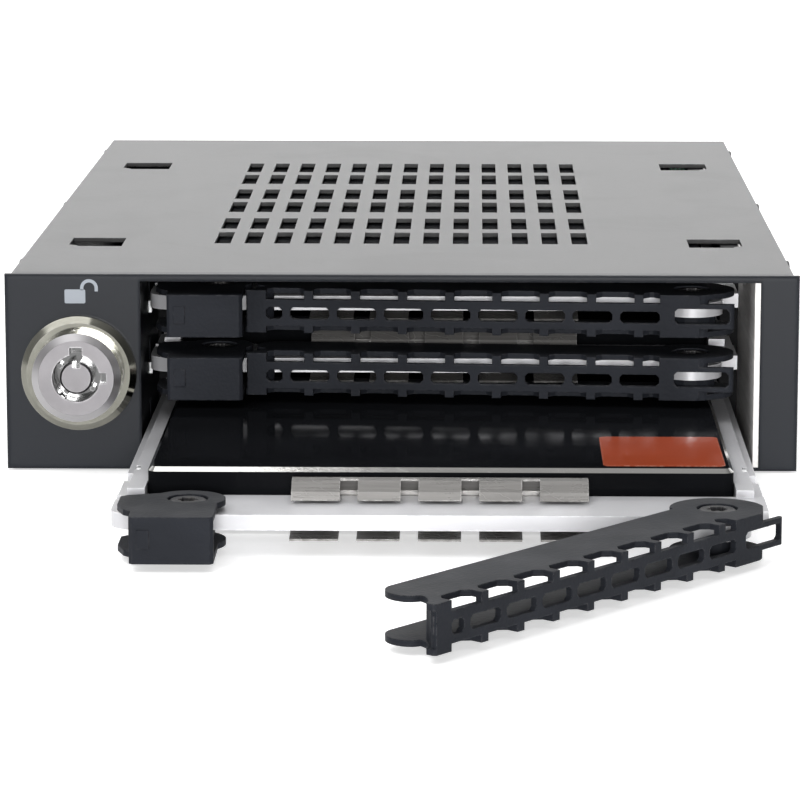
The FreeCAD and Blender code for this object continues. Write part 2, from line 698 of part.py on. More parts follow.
def lock_nut():
    """The flat hexagon nut that clamps the housing to the bezel."""
    y0 = BEZEL_SHEET
    corner_r = LOCK_NUT_AF / 2 / math.cos(math.radians(30))
    corners = []
    for k in range(6):
        a = math.radians(60 * k + 30)
        corners.append(Vec(LOCK_X + corner_r * math.cos(a), y0, LOCK_Z + corner_r * math.sin(a)))
    nut = Part.Face(Part.makePolygon(corners + [corners[0]])).extrude(Vec(0, LOCK_NUT, 0))
    return nut.cut(rod(LOCK_BARREL_R, (LOCK_X, y0 - 1, LOCK_Z), (LOCK_X, y0 + LOCK_NUT + 1, LOCK_Z)))


def cam_pin_place():
    """The cam pin at rest: as far below the lock's axis as it ends above it."""
    a = math.radians(180 + LOCK_TURN / 2)
    return (LOCK_X + CAM_PIN_REACH * math.cos(a), LOCK_Z + CAM_PIN_REACH * math.sin(a))


def lock_cam():
    """The disc on the core's square end, with the pin that lifts the lock bar."""
    x, z = cam_pin_place()
    disc = rod(CAM_R, (LOCK_X, CAM_FRONT, LOCK_Z), (LOCK_X, CAM_REAR, LOCK_Z))
    pin = rod(CAM_PIN_R, (x, CAM_REAR, z), (x, LOCK_BAR_REAR + 0.3, z))
    return disc.cut(spigot(1)).fuse(pin)


def lock_bar():
    """The sliding bar with one tooth beside each tray; the cam's pin works in its cross slot."""
    y0 = LOCK_BAR_FRONT
    y1 = LOCK_BAR_REAR
    right = LOCK_BAR_RIGHT
    plate = block(LOCK_BAR_LEFT, right, y0, y1, tooth_floor(0), COVER_UNDER - LOCK_BAR_TRAVEL - 0.6)
    pieces = [plate]
    for level in range(len(TRAYS)):
        z = tooth_floor(level)
        pieces.append(block(right - 0.5, TRAY_LEFT - TOOTH_CLEAR, y0, y1, z, z + TOOTH_HEIGHT))
    pin_x, pin_z = cam_pin_place()
    half = CAM_PIN_R + 0.2
    cuts = [slot_cutter(LOCK_X - CAM_PIN_REACH - half - 0.2, pin_x + half + 0.4, y0 - 1, y1 + 1,
                        pin_z - half, pin_z + half, SLOT_BEVEL)]
    half = STUD_R + PLAY
    for z in STUD_HEIGHTS:
        cuts.append(slot_cutter(LOCK_X - half, LOCK_X + half, y0 - 1, y1 + 1,
                                z - LOCK_BAR_TRAVEL - half, z + half, SLOT_BEVEL))
    return join(pieces).cut(Part.makeCompound(cuts))


def lock_bracket():
    """The bracket behind the lock bar, with the two headed studs that the bar slides on."""
    y0 = BRACKET_FRONT
    y1 = y0 + BODY_SHEET
    left = LOCK_BAR_LEFT
    right = LOCK_BAR_RIGHT
    pieces = [
        block(left, right, y0, y1, BASE_SHEET, COVER_UNDER - 1.0),
        block(left, right, y0, y0 + BRACKET_FOOT, BASE_SHEET, BASE_SHEET + BODY_SHEET),
    ]
    for z in STUD_HEIGHTS:
        pieces.append(prism(SCREW_SIDES, STUD_R, (LOCK_X, LOCK_BAR_FRONT - PLAY, z), (LOCK_X, y0, z)))
        pieces.append(prism(SCREW_SIDES, STUD_HEAD_R, (LOCK_X, LOCK_BAR_FRONT - 0.7, z),
                            (LOCK_X, LOCK_BAR_FRONT - PLAY, z)))
    return join(pieces)


# ---------------------------------------------------------------- one tray
def runner_floor(level):
    """Underside of the tray's runners, centred on the rail."""
    return rail_middle(level) - RUNNER_THICK / 2


def bar_floor(level):
    """Underside of the tray's front bar."""
    return DRIVE_FLOOR + tray_floor(level) + BAR_HEIGHT


def rail_middle(level):
    return DRIVE_FLOOR + tray_floor(level) + DRIVE_HOLE_HEIGHT


def tray_frame(level):
    """The tray: a front bar with a round lobe for the lever, and two rails with runners."""
    z0 = bar_floor(level)
    z1 = z0 + BAR_THICK
    bar = block(TRAY_LEFT, TRAY_RIGHT, BAR_FRONT, BAR_REAR, z0, z1)
    bar = bar.makeFillet(BAR_ROUND, upright_edges(bar, lambda x, y: x < TRAY_LEFT + 1 and y < BAR_FRONT + 1))
    sweep = LEVER_FACE + 2.0
    corner = block(PIVOT_X, TRAY_RIGHT + 1, BAR_FRONT - 1, PIVOT_Y + 4.2, z0 - 1, z1 + 1)
    corner = corner.common(rod(sweep, (PIVOT_X, PIVOT_Y, z0 - 1), (PIVOT_X, PIVOT_Y, z1 + 1)))
    lobe = rod(LOBE_R, (PIVOT_X, PIVOT_Y, z0), (PIVOT_X, PIVOT_Y, z1))
    neck = block(PIVOT_X - LOBE_R, PIVOT_X + LOBE_R, PIVOT_Y, PIVOT_Y + 5.0, z0, z1)
    pieces = [bar.cut(corner), lobe, neck]
    mid = rail_middle(level)
    rail_front = BAR_REAR - RAIL_LAP
    for sign in (-1, 1):
        edge = TRAY_CENTRE_X + sign * TRAY_WIDTH / 2
        shoulder = edge - sign * RUNNER_WIDTH
        inner = TRAY_CENTRE_X + sign * (DRIVE_WIDTH / 2 + DRIVE_GAP)
        x0, x1 = sorted((shoulder, inner))
        pieces.append(block(x0, x1, rail_front, RAIL_REAR, mid - RAIL_HEIGHT / 2, mid + RAIL_HEIGHT / 2))
        x0, x1 = sorted((edge, shoulder))
        pieces.append(block(x0, x1, rail_front, RAIL_REAR, mid - RUNNER_THICK / 2,
                            mid + RUNNER_THICK / 2))
    frame = join(pieces)
    cuts = [
        rod(SCREW_R, (PIVOT_X, PIVOT_Y, z0 - 1), (PIVOT_X, PIVOT_Y, z1 + 1)),
        rod(SCREW_R, (LATCH_X, LATCH_Y, z0 - 1), (LATCH_X, LATCH_Y, z1 + 1)),
    ]
    cuts.append(block(TRAY_LEFT - 1, TRAY_LEFT + TOOTH_NOTCH, LOCK_BAR_FRONT - TOOTH_PLAY,
                      LOCK_BAR_REAR + TOOTH_PLAY, z0 - 1, z1 + 1))
    for x, y, z, sign in drive_screw_places(level):
        cuts.append(prism(SCREW_SIDES, RECESS_R + PLAY, (x + sign * 2, y, z), (x - sign * SCREW_HEAD, y, z)))
        cuts.append(prism(SCREW_SIDES, DRIVE_HOLE_R, (x + sign * 2, y, z), (x - sign * 6, y, z)))
    return frame.cut(Part.makeCompound(cuts))


def drive_screw_places(level):
    """The four side screws: the head's outer face, with the side's sign."""
    z = rail_middle(level)
    places = []
    for sign in (-1, 1):
        x = TRAY_CENTRE_X + sign * (TRAY_WIDTH / 2 - RUNNER_WIDTH)
        for back in DRIVE_HOLES_FROM_REAR:
            places.append((x, DRIVE_REAR - back, z, sign))
    return places


def drive_screws(level):
    screws = []
    for x, y, z, sign in drive_screw_places(level):
        screws.append(small_screw((x, y, z), (-sign, 0, 0), DRIVE_SCREW, SCREW_HEAD_R,
                                  DRIVE_HOLE_R - BEARING))
    return Part.makeCompound(screws)


def drive_case(level):
    """The slim drive: a bevelled metal case with side holes and its plug at the rear."""
    z0 = DRIVE_FLOOR + tray_floor(level)
    case = block(DRIVE_LEFT, DRIVE_RIGHT, DRIVE_FRONT, DRIVE_REAR, z0, z0 + DRIVE_HEIGHT)
    case = case.makeFillet(DRIVE_CORNER, upright_edges(case, lambda x, y: True))
    case = case.makeChamfer(DRIVE_RIM, [e for e in case.Edges if e.BoundBox.ZMin > z0 + DRIVE_HEIGHT - 0.01])
    x = TRAY_CENTRE_X + SOCKET_OFFSET
    z = socket_height(level)
    half = SOCKET_WIDTH / 2 + PLUG_PLAY
    tall = SOCKET_HEIGHT / 2 + PLAY
    floor_y = DRIVE_REAR - SOCKET_REACH - PLUG_PLAY
    case = case.cut(block(x - half, x + half, floor_y, DRIVE_REAR + 1, z - tall, z + tall))
    blades = []
    for start, width in SOCKET_WELLS:
        left = x + SOCKET_WIDTH * (start - 0.5) + 0.25
        right = left + SOCKET_WIDTH * width - 0.5
        blades.append(block(left, right, floor_y - PLAY, floor_y + SOCKET_REACH - 2 * PLUG_PLAY,
                            z - PLUG_BLADE / 2, z + PLUG_BLADE / 2))
    case = join([case] + blades)
    holes = []
    for hx, y, hz, sign in drive_screw_places(level):
        holes.append(prism(SCREW_SIDES, DRIVE_HOLE_R, (hx, y, hz), (hx - sign * 7.5, y, hz)))
    return case.cut(Part.makeCompound(holes))


def plate_screw(x, y, level):
    """A low screw down through a plate and the tray's bar, its head sunk in the plate."""
    top = LEVER_FLOOR + tray_floor(level) + LEVER_HEIGHT - HEAD_SUNK
    foot = bar_floor(level) - 0.5
    head = rod(SCREW_HEAD_R, (x, y, top - SCREW_HEAD), (x, y, top))
    return join([head, rod(SCREW_R - BEARING, (x, y, foot), (x, y, top - SCREW_HEAD))])


def spring_clip(level):
    """The sprung metal clip over the bar's rear edge, slotted into five fingers."""
    z0 = bar_floor(level)
    z1 = z0 + BAR_THICK
    t = CLIP_SHEET
    crest = z1 + CLIP_CREST
    front = BAR_FRONT + CLIP_EDGE
    top_y = BAR_REAR - CLIP_CREST_BACK
    centre = [
        (front, z0 - CLIP_DROP), (BAR_REAR - CLIP_SAG_BACK, z0 - CLIP_SAG),
        (BAR_REAR - 0.8, z0 - CLIP_SAG / 2), (BAR_REAR + 0.3, z0 - 0.3),
        (BAR_REAR + CLIP_LAP, z0 + 0.5), (BAR_REAR + CLIP_LAP, z1 + 0.6),
        (top_y + 1.9, crest), (top_y, crest), (top_y - 1.6, z1 + 1.2), (top_y - 2.2, z1 + 0.3),
    ]
    left = TRAY_CENTRE_X - CLIP_WIDTH / 2
    clip = bent_strip(centre, t, left, left + CLIP_WIDTH)
    cuts = []
    for k in range(CLIP_SLOTS):
        x = TRAY_CENTRE_X + (k - (CLIP_SLOTS - 1) / 2) * CLIP_PITCH - CLIP_SLOT / 2
        cuts.append(block(x, x + CLIP_SLOT, front - 1, BAR_REAR - 2.5, z0 - 2, z0))
        cuts.append(block(x, x + CLIP_SLOT, top_y - 3, top_y + 1.0, z1, crest + 1))
    return clip.cut(Part.makeCompound(cuts))


def bent_strip(path, thick, x0, x1):
    """A strip of sheet bent along a (y, z) path, between two x values."""
    outer = []
    inner = []
    for k, (y, z) in enumerate(path):
        a = path[max(k - 1, 0)]
        b = path[min(k + 1, len(path) - 1)]
        run = math.hypot(b[0] - a[0], b[1] - a[1])
        ny = -(b[1] - a[1]) / run
        nz = (b[0] - a[0]) / run
        outer.append(Vec(x0, y + ny * thick / 2, z + nz * thick / 2))
        inner.append(Vec(x0, y - ny * thick / 2, z - nz * thick / 2))
    ring = outer + inner[::-1]
    return Part.Face(Part.makePolygon(ring + [ring[0]])).extrude(Vec(x1 - x0, 0, 0))


# ---------------------------------------------------------------- lever and latch block
def lever_outline(z0, z1):
    """Plan of the lever's plates about its pivot: boss, straight back and hooked left end."""
    back = LEVER_DEPTH - LEVER_FACE
    front = -LEVER_FACE
    left = -LEVER_LENGTH
    step = -math.sqrt(BOSS_R ** 2 - (back + 0.9) ** 2)
    a = Vec(left + LEVER_CORNER, front, z0)
    b = Vec(LEVER_RIGHT - 1.2, front, z0)
    c = Vec(LEVER_RIGHT - 0.2, front + 0.35, z0)
    d = Vec(BOSS_R * math.cos(math.radians(-38)), BOSS_R * math.sin(math.radians(-38)), z0)
    e = Vec(step, back + 0.9, z0)
    f = Vec(step - 0.5, back, z0)
    g = Vec(left + 3.4, back, z0)
    h = Vec(left + 0.9, front + 5.6, z0)
    i = Vec(left + 2.3, front + 3.9, z0)
    j = Vec(left, front + 1.2, z0)
    k = Vec(left, front + LEVER_CORNER, z0)
    edges = [
        Part.LineSegment(a, b).toShape(),
        Part.LineSegment(b, c).toShape(),
        Part.LineSegment(c, d).toShape(),
        Part.Arc(d, Vec(0.0, BOSS_R, z0), e).toShape(),
        Part.LineSegment(e, f).toShape(),
        Part.LineSegment(f, g).toShape(),
        Part.Arc(g, Vec(left + 1.2, front + 7.6, z0), h).toShape(),
        Part.Arc(h, Vec(left + 1.45, front + 4.4, z0), i).toShape(),
        Part.Arc(i, Vec(left + 1.5, front + 2.2, z0), j).toShape(),
        Part.LineSegment(j, k).toShape(),
        Part.LineSegment(k, a).toShape(),
    ]
    return Part.Face(Part.Wire(edges)).extrude(Vec(0, 0, z1 - z0))


def lever_blank():
    """The lever about its pivot: two plates, a windowed front wall, an end wall and a nose."""
    front = -LEVER_FACE
    left = -LEVER_LENGTH
    pieces = [
        lever_outline(0, LEVER_PLATE),
        lever_outline(LEVER_HEIGHT - LEVER_PLATE, LEVER_HEIGHT),
        block(left + LEVER_CORNER, LEVER_RIGHT - 0.8, front, front + LEVER_WALL, 0.2, LEVER_HEIGHT - 0.2),
        polygon([(LEVER_RIGHT - 1.2, front), (LEVER_RIGHT - 0.2, front + 0.35),
                 (LEVER_RIGHT + 0.3, front + LEVER_WALL), (LEVER_RIGHT - 1.2, front + LEVER_WALL)],
                0.2, LEVER_HEIGHT - 0.2),
        lever_end_wall(),
        washer(0, 0, LEVER_PLATE - 0.1, lever_bar_floor() - PLAY),
        washer(0, 0, lever_bar_floor() + BAR_THICK + PLAY, LEVER_HEIGHT - LEVER_PLATE + 0.1),
    ]
    nose = block(LEVER_RIGHT - 2.0, NOSE_RIGHT, front, front + LEVER_WALL, NOSE_FLOOR,
                 NOSE_FLOOR + NOSE_HEIGHT)
    nose = nose.makeFillet(0.7, upright_edges(nose, lambda x, y: x > NOSE_RIGHT - 0.1 and y < front + 0.1))
    lever = join(pieces + [nose])
    cuts = lever_windows()
    cuts.append(rod(SCREW_R + BEARING, (0, 0, -1), (0, 0, LEVER_HEIGHT + 1)))
    cuts.append(rod(RECESS_R, (0, 0, LEVER_HEIGHT - SCREW_HEAD - HEAD_ROOM), (0, 0, LEVER_HEIGHT + 1)))
    return lever.cut(Part.makeCompound(cuts))


def lever_bar_floor():
    """Underside of the tray's bar, measured from the underside of the lever."""
    return DRIVE_FLOOR + BAR_HEIGHT - LEVER_FLOOR


def washer(x, y, z0, z1):
    return prism(WASHER_SIDES, WASHER_R, (x, y, z0), (x, y, z1))


def lever_end_wall():
    """The curved wall that closes the channel at the lever's free end."""
    left = -LEVER_LENGTH
    front = -LEVER_FACE
    a = Vec(left + 0.1, front + 0.4, 0.2)
    b = Vec(left + 1.5, front + 1.6, 0.2)
    c = Vec(left + 2.5, front + 3.3, 0.2)
    d = Vec(left + 3.4, front + 3.3, 0.2)
    e = Vec(left + 2.4, front + 1.4, 0.2)
    f = Vec(left + 1.0, front + 0.1, 0.2)
    edges = [
        Part.Arc(a, b, c).toShape(),
        Part.LineSegment(c, d).toShape(),
        Part.Arc(d, e, f).toShape(),
        Part.LineSegment(f, a).toShape(),
    ]
    return Part.Face(Part.Wire(edges)).extrude(Vec(0, 0, LEVER_HEIGHT - 0.4))


def lever_windows():
    """Three staggered rows: notches on the upper and lower edges and windows between them."""
    front = -LEVER_FACE
    y0 = front - 1
    y1 = front + LEVER_WALL + 0.2
    middle = NOSE_FLOOR + NOSE_HEIGHT / 2 - WINDOW_DROP
    low = middle - SLOT_HEIGHT / 2
    high = middle + SLOT_HEIGHT / 2
    notch_start = NOTCH_FIRST - LEVER_LENGTH
    first = WINDOW_FIRST - LEVER_LENGTH
    pitch = (-WINDOW_LAST - first) / WINDOW_COUNT
    cuts = [slot_cutter(notch_start, notch_start + SHORT_WIDTH, y0, y1, low, high, SLOT_BEVEL)]
    notches = []
    for k in range(WINDOW_COUNT):
        x = first + k * pitch
        cuts.append(slot_cutter(x, x + pitch - BRIDGE, y0, y1, low, high, SLOT_BEVEL))
        notches.append((notch_start + k * pitch, pitch - NOTCH_BRIDGE))
    notches.append((notch_start + WINDOW_COUNT * pitch, SHORT_WIDTH))
    for x, width in notches:
        for z0, z1 in ((-1, NOTCH_LOW), (LEVER_HEIGHT - NOTCH_HEIGHT, LEVER_HEIGHT + 1)):
            notch = block(x, x + width, y0, front + NOTCH_DEPTH, z0, z1)
            notch = notch.makeChamfer(NOTCH_BEVEL, upright_edges(notch, lambda px, py: py > front))
            cuts.append(notch)
    nose_z = NOSE_FLOOR + (NOSE_HEIGHT - NOSE_SLOT_HEIGHT) / 2
    nose_top = nose_z + NOSE_SLOT_HEIGHT
    cuts.append(slot_cutter(NOSE_SLOT[0], NOSE_SLOT[1], y0, y1, nose_z, nose_top, SLOT_BEVEL))
    return cuts


def lever(level):
    """The lever set on its tray, closed or swung open."""
    part = lever_blank()
    turn = -LEVER_TILT
    if is_out(level):
        turn += LEVER_OPEN
    part.rotate(Vec(0, 0, 0), Z_AXIS, turn)
    part.translate(Vec(PIVOT_X, PIVOT_Y, LEVER_FLOOR + tray_floor(level)))
    return part


def latch_outline(z0, z1):
    """Plan of the latch block's plates: square front, ears and a round boss at the screw."""
    front = BLOCK_FRONT
    ear = BLOCK_LEFT - BLOCK_EAR
    boss_back = LATCH_Y + LATCH_BOSS_R
    slope = math.radians(140)
    boss_left = Vec(LATCH_X + LATCH_BOSS_R * math.cos(slope), LATCH_Y + LATCH_BOSS_R * math.sin(slope), z0)
    right = Vec(BLOCK_RIGHT, LATCH_Y - math.sqrt(LATCH_BOSS_R ** 2 - (BLOCK_RIGHT - LATCH_X) ** 2), z0)
    points = [
        Vec(BLOCK_LEFT, front, z0), Vec(BLOCK_RIGHT, front, z0), right]
    tail = [boss_left, Vec(ear + 0.7, LATCH_Y + 1.6, z0), Vec(ear, LATCH_Y + 0.9, z0),
            Vec(ear, LATCH_Y - 3.6, z0), Vec(ear + 0.9, LATCH_Y - 6.2, z0),
            Vec(BLOCK_LEFT, LATCH_Y - 7.2, z0), points[0]]
    edges = [Part.LineSegment(points[0], points[1]).toShape(),
             Part.LineSegment(points[1], points[2]).toShape(),
             Part.Arc(right, Vec(LATCH_X, boss_back, z0), boss_left).toShape()]
    for a, b in zip(tail[:-1], tail[1:]):
        edges.append(Part.LineSegment(a, b).toShape())
    return Part.Face(Part.Wire(edges)).extrude(Vec(0, 0, z1 - z0))


def latch_block(level):
    """The C-shaped latch block at the tray's left, turning a little about its screw."""
    z0 = LEVER_FLOOR + tray_floor(level)
    z1 = z0 + LEVER_HEIGHT
    bar_z0 = bar_floor(level)
    front = BLOCK_FRONT
    wall = block(BLOCK_LEFT, BLOCK_RIGHT, front, front + BLOCK_WALL, z0, z1)
    ribs = [
        block(BLOCK_LEFT + 1.2, BLOCK_LEFT + 2.1, front, BAR_FRONT - 1.4, z0, z1),
        block(BLOCK_RIGHT - 2.1, BLOCK_RIGHT - 1.2, front, BAR_FRONT - 1.4, z0, z1),
    ]
    mark = block(BLOCK_LEFT + 0.9, BLOCK_LEFT + 2.35, front - 0.15, front + 0.1, z0 + 1.8, z0 + 4.0)
    pieces = [wall, latch_outline(z0, z0 + LEVER_PLATE), latch_outline(z1 - LEVER_PLATE, z1)] + ribs
    body = join(pieces)
    body = body.makeChamfer(0.4, upright_edges(body, lambda x, y: y < front + 0.01))
    lower = washer(LATCH_X, LATCH_Y, z0 + 0.1, bar_z0 - PLAY)
    upper = washer(LATCH_X, LATCH_Y, bar_z0 + BAR_THICK + PLAY, z1 - 0.1)
    body = join([body, mark, lower, upper])
    cuts = [
        rod(SCREW_R + BEARING, (LATCH_X, LATCH_Y, z0 - 1), (LATCH_X, LATCH_Y, z1 + 1)),
        rod(RECESS_R, (LATCH_X, LATCH_Y, z1 - SCREW_HEAD - HEAD_ROOM), (LATCH_X, LATCH_Y, z1 + 1)),
    ]
    return body.cut(Part.makeCompound(cuts))


# ---------------------------------------------------------------- assembly
def is_out(level):
    """Only the lowest tray stands pulled out, with its lever open."""
    return level == 0


def tray_pieces(level):
    """Every piece of one tray by node name, pushed in or pulled out."""
    name = TRAYS[level]
    pieces = {
        "tray_frame_" + name: tray_frame(level),
        "drive_" + name: drive_case(level),
        "drive_screws_" + name: drive_screws(level),
        "spring_clip_" + name: spring_clip(level),
        "latch_block_" + name: latch_block(level),
        "latch_screw_" + name: plate_screw(LATCH_X, LATCH_Y, level),
        "lever_" + name: lever(level),
        "lever_screw_" + name: plate_screw(PIVOT_X, PIVOT_Y, level),
    }
    if is_out(level):
        for shape in pieces.values():
            shape.translate(Vec(0, -PULL_OUT, 0))
    return pieces


def all_pieces():
    power_z = REAR_FRAME + REAR_SOCKET_INSET
    data_z = COVER_UNDER - REAR_FRAME - REAR_SOCKET_INSET
    pieces = {
        "bezel": bezel(),
        "bottom_chassis": bottom_chassis(),
        "top_cover": top_cover(),
        "cover_screws": cover_screws(),
        "left_inner_wall": side_wall("left"),
        "right_inner_wall": side_wall("right"),
        "left_runner_guide": runner_guide("left"),
        "right_runner_guide": runner_guide("right"),
        "backplane_board": backplane_board(),
        "board_screws": board_screws(),
        "power_socket": cable_socket(TRAY_CENTRE_X, power_z, POWER_SOCKET),
        "lock_housing": lock_housing(),
        "lock_core": lock_core(),
        "lock_nut": lock_nut(),
        "lock_cam": lock_cam(),
        "lock_bar": lock_bar(),
        "lock_bracket": lock_bracket(),
    }
    for level, name in enumerate(TRAYS):
        pieces["drive_socket_" + name] = drive_socket(level)
        x = TRAY_CENTRE_X + (level - 1) * DATA_SOCKET_PITCH
        pieces["data_socket_" + str(level + 1)] = cable_socket(x, data_z, DATA_SOCKET)
        pieces.update(tray_pieces(level))
    return pieces


def set_origin(shape):
    """Move a piece so that the origin is the centre of the underside's mounting holes."""
    shape.translate(Vec(0, -ORIGIN_Y, 0))
    return shape


def main():
    os.makedirs("parts", exist_ok=True)
    for name, shape in all_pieces().items():
        set_origin(shape).exportStep("parts/" + name + ".step")


main()
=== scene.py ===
"""Looks of the hot swap drive cage: finishes, small details, stage, light and camera."""
import math

import bmesh
import bpy
from mathutils import Matrix, Vector


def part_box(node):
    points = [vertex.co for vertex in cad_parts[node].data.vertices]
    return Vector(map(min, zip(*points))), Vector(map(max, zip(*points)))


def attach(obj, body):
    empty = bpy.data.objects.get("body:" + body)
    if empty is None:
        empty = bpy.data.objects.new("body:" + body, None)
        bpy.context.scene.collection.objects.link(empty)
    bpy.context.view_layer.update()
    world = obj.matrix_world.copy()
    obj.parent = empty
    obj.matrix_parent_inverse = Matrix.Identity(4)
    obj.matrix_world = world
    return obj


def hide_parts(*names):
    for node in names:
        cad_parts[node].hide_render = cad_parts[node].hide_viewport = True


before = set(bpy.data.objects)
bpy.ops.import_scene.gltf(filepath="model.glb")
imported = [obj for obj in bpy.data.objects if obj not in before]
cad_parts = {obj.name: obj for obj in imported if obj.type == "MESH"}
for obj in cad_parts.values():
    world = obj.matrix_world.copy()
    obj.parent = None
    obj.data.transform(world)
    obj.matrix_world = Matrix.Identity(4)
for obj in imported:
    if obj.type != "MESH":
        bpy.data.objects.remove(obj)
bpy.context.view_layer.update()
MM = 0.001
TRAYS = ("lower", "middle", "upper")

# ---------------------------------------------------------------- node helpers
FLOAT = "NodeSocketFloat"
VECTOR = "NodeSocketVector"
BEVEL_SAMPLES = {"samples": 4}


def put(tree, kind, settings=None, **inputs):
    """Add a node. Inputs are given by socket name, with _ for a space; a socket is linked, a value is set."""
    node = tree.nodes.new(kind)
    for key, value in (settings or {}).items():
        setattr(node, key, value)
    for key, value in inputs.items():
        feed(tree, node, key.replace("_", " "), value)
    return node


def feed(tree, node, socket, value):
    """Link a socket or set its value; a number picks the input by its place."""
    target = node.inputs[int(socket)] if socket.isdigit() else node.inputs[socket]
    if isinstance(value, bpy.types.NodeSocket):
        tree.links.new(value, target)
    else:
        target.default_value = value


def sums(tree, operation, a, b=0.0, clamp=False):
    """A Math node on two values."""
    node = put(tree, "ShaderNodeMath", {"operation": operation, "use_clamp": clamp})
    feed(tree, node, "0", a)
    feed(tree, node, "1", b)
    return node.outputs[0]


def vectors(tree, operation, a, b=None, output="Vector"):
    """A Vector Math node on one or two vectors."""
    node = put(tree, "ShaderNodeVectorMath", {"operation": operation})
    feed(tree, node, "0", a)
    if b is not None:
        feed(tree, node, "1", b)
    return node.outputs[output]


def ramp(tree, value, low, high):
    """Map low..high to 0..1 with soft ends, clamped."""
    node = put(tree, "ShaderNodeMapRange", {"interpolation_type": "SMOOTHSTEP"},
               Value=value, From_Min=low, From_Max=high)
    return node.outputs["Result"]


def spread(tree, value, low, high, start=0.0, end=1.0):
    """Map start..end, which is 0..1 unless said, to low..high."""
    node = put(tree, "ShaderNodeMapRange", Value=value, From_Min=start, From_Max=end, To_Min=low, To_Max=high)
    return node.outputs["Result"]


def blend(tree, factor, a, b):
    """Mix two colours."""
    node = put(tree, "ShaderNodeMix", {"data_type": "RGBA"})
    feed(tree, node, "0", factor)
    feed(tree, node, "6", a)
    feed(tree, node, "7", b)
    return node.outputs[2]


def mottled(tree, tone, low, high, a, b):
    """Drift between two colours with a slow tone."""
    return blend(tree, ramp(tree, tone, low, high), a, b)


def rgb(red, green, blue):
    """An opaque colour."""
    return (red, green, blue, 1.0)


def grey(value):
    """An opaque grey."""
    return rgb(value, value, value)


def scaled(colour, gain):
    """A colour made darker or lighter by a factor."""
    return rgb(*(channel * gain for channel in colour[:3]))


def object_place(tree):
    """Coordinates in the object's own space, which is the shared frame."""
    return put(tree, "ShaderNodeTexCoord").outputs["Object"]


def upward(tree):
    """How far the surface faces up, from -1 to 1."""
    way = put(tree, "ShaderNodeTexCoord").outputs["Normal"]
    return put(tree, "ShaderNodeSeparateXYZ", Vector=way).outputs["Z"]


def noise(tree, place, scale, **more):
    """The value of a noise texture."""
    return put(tree, "ShaderNodeTexNoise", Vector=place, Scale=scale, **more).outputs[0]


def new_group(name, inputs, outputs):
    """A shader node group with float or vector inputs and float outputs."""
    tree = bpy.data.node_groups.new(name, "ShaderNodeTree")
    for title, kind, value in inputs:
        socket = tree.interface.new_socket(title, in_out="INPUT", socket_type=kind)
        socket.default_value = value
    for title in outputs:
        tree.interface.new_socket(title, in_out="OUTPUT", socket_type=FLOAT)
    start = tree.nodes.new("NodeGroupInput")
    end = tree.nodes.new("NodeGroupOutput")
    return tree, start.outputs, end


# ---------------------------------------------------------------- shared surface effects
def make_edge_wear():
    """Mask of the outer edges where finish has rubbed thin, broken up by noise."""
    tree, given, end = new_group("edge_wear", [("Width", FLOAT, 0.0004), ("Gain", FLOAT, 2.0),
                                               ("Breakup", FLOAT, 900.0)], ["Mask"])
    rounded = put(tree, "ShaderNodeBevel", BEVEL_SAMPLES, Radius=given["Width"]).outputs[0]
    plain = put(tree, "ShaderNodeNewGeometry").outputs["Normal"]
    facing = vectors(tree, "DOT_PRODUCT", rounded, plain, "Value")
    edge = sums(tree, "MULTIPLY", sums(tree, "SUBTRACT", 1.0, facing), given["Gain"], True)
    broken = ramp(tree, noise(tree, object_place(tree), given["Breakup"], Detail=3.0), 0.38, 0.68)
    feed(tree, end, "Mask", sums(tree, "MULTIPLY", edge, broken, True))
    return tree


def make_powder_coat():
    """Orange-peel height and slow tone changes of sprayed and baked paint."""
    tree, given, end = new_group("powder_coat", [("Scale", FLOAT, 1400.0)], ["Height", "Tone"])
    place = object_place(tree)
    peel = noise(tree, place, given["Scale"], Detail=2.0, Roughness=0.55)
    specks = put(tree, "ShaderNodeTexVoronoi", Vector=place,
                 Scale=sums(tree, "MULTIPLY", given["Scale"], 2.3)).outputs["Distance"]
    feed(tree, end, "Height", sums(tree, "ADD", peel, sums(tree, "MULTIPLY", specks, 0.35)))
    feed(tree, end, "Tone", noise(tree, place, 26.0, Detail=4.0))
    return tree


def make_moulded_grain():
    """The spark-eroded grain of a moulded part, with faint flow marks."""
    tree, given, end = new_group("moulded_grain", [("Scale", FLOAT, 2600.0)], ["Height", "Tone"])
    place = object_place(tree)
    cells = put(tree, "ShaderNodeTexVoronoi", {"feature": "SMOOTH_F1"}, Vector=place,
                Scale=given["Scale"]).outputs["Distance"]
    fine = noise(tree, place, sums(tree, "MULTIPLY", given["Scale"], 1.7), Detail=3.0)
    flow = noise(tree, place, 70.0, Detail=5.0, Distortion=0.6)
    feed(tree, end, "Height", sums(tree, "ADD", cells, sums(tree, "MULTIPLY", fine, 0.6)))
    feed(tree, end, "Tone", flow)
    return tree


def make_drawn_lines():
    """Lines left by rolling or brushing: noise stretched along one direction."""
    tree, given, end = new_group("drawn_lines", [("Stretch", VECTOR, (1.0, 1.0, 0.04)),
                                                 ("Scale", FLOAT, 2200.0)], ["Height", "Tone"])
    sized = vectors(tree, "MULTIPLY", object_place(tree), given["Stretch"])
    lines = noise(tree, sized, given["Scale"], Detail=4.0, Roughness=0.65)
    bands = noise(tree, sized, sums(tree, "MULTIPLY", given["Scale"], 0.12), Detail=2.0)
    feed(tree, end, "Height", lines)
    feed(tree, end, "Tone", sums(tree, "MULTIPLY", sums(tree, "ADD", lines, bands), 0.5))
    return tree


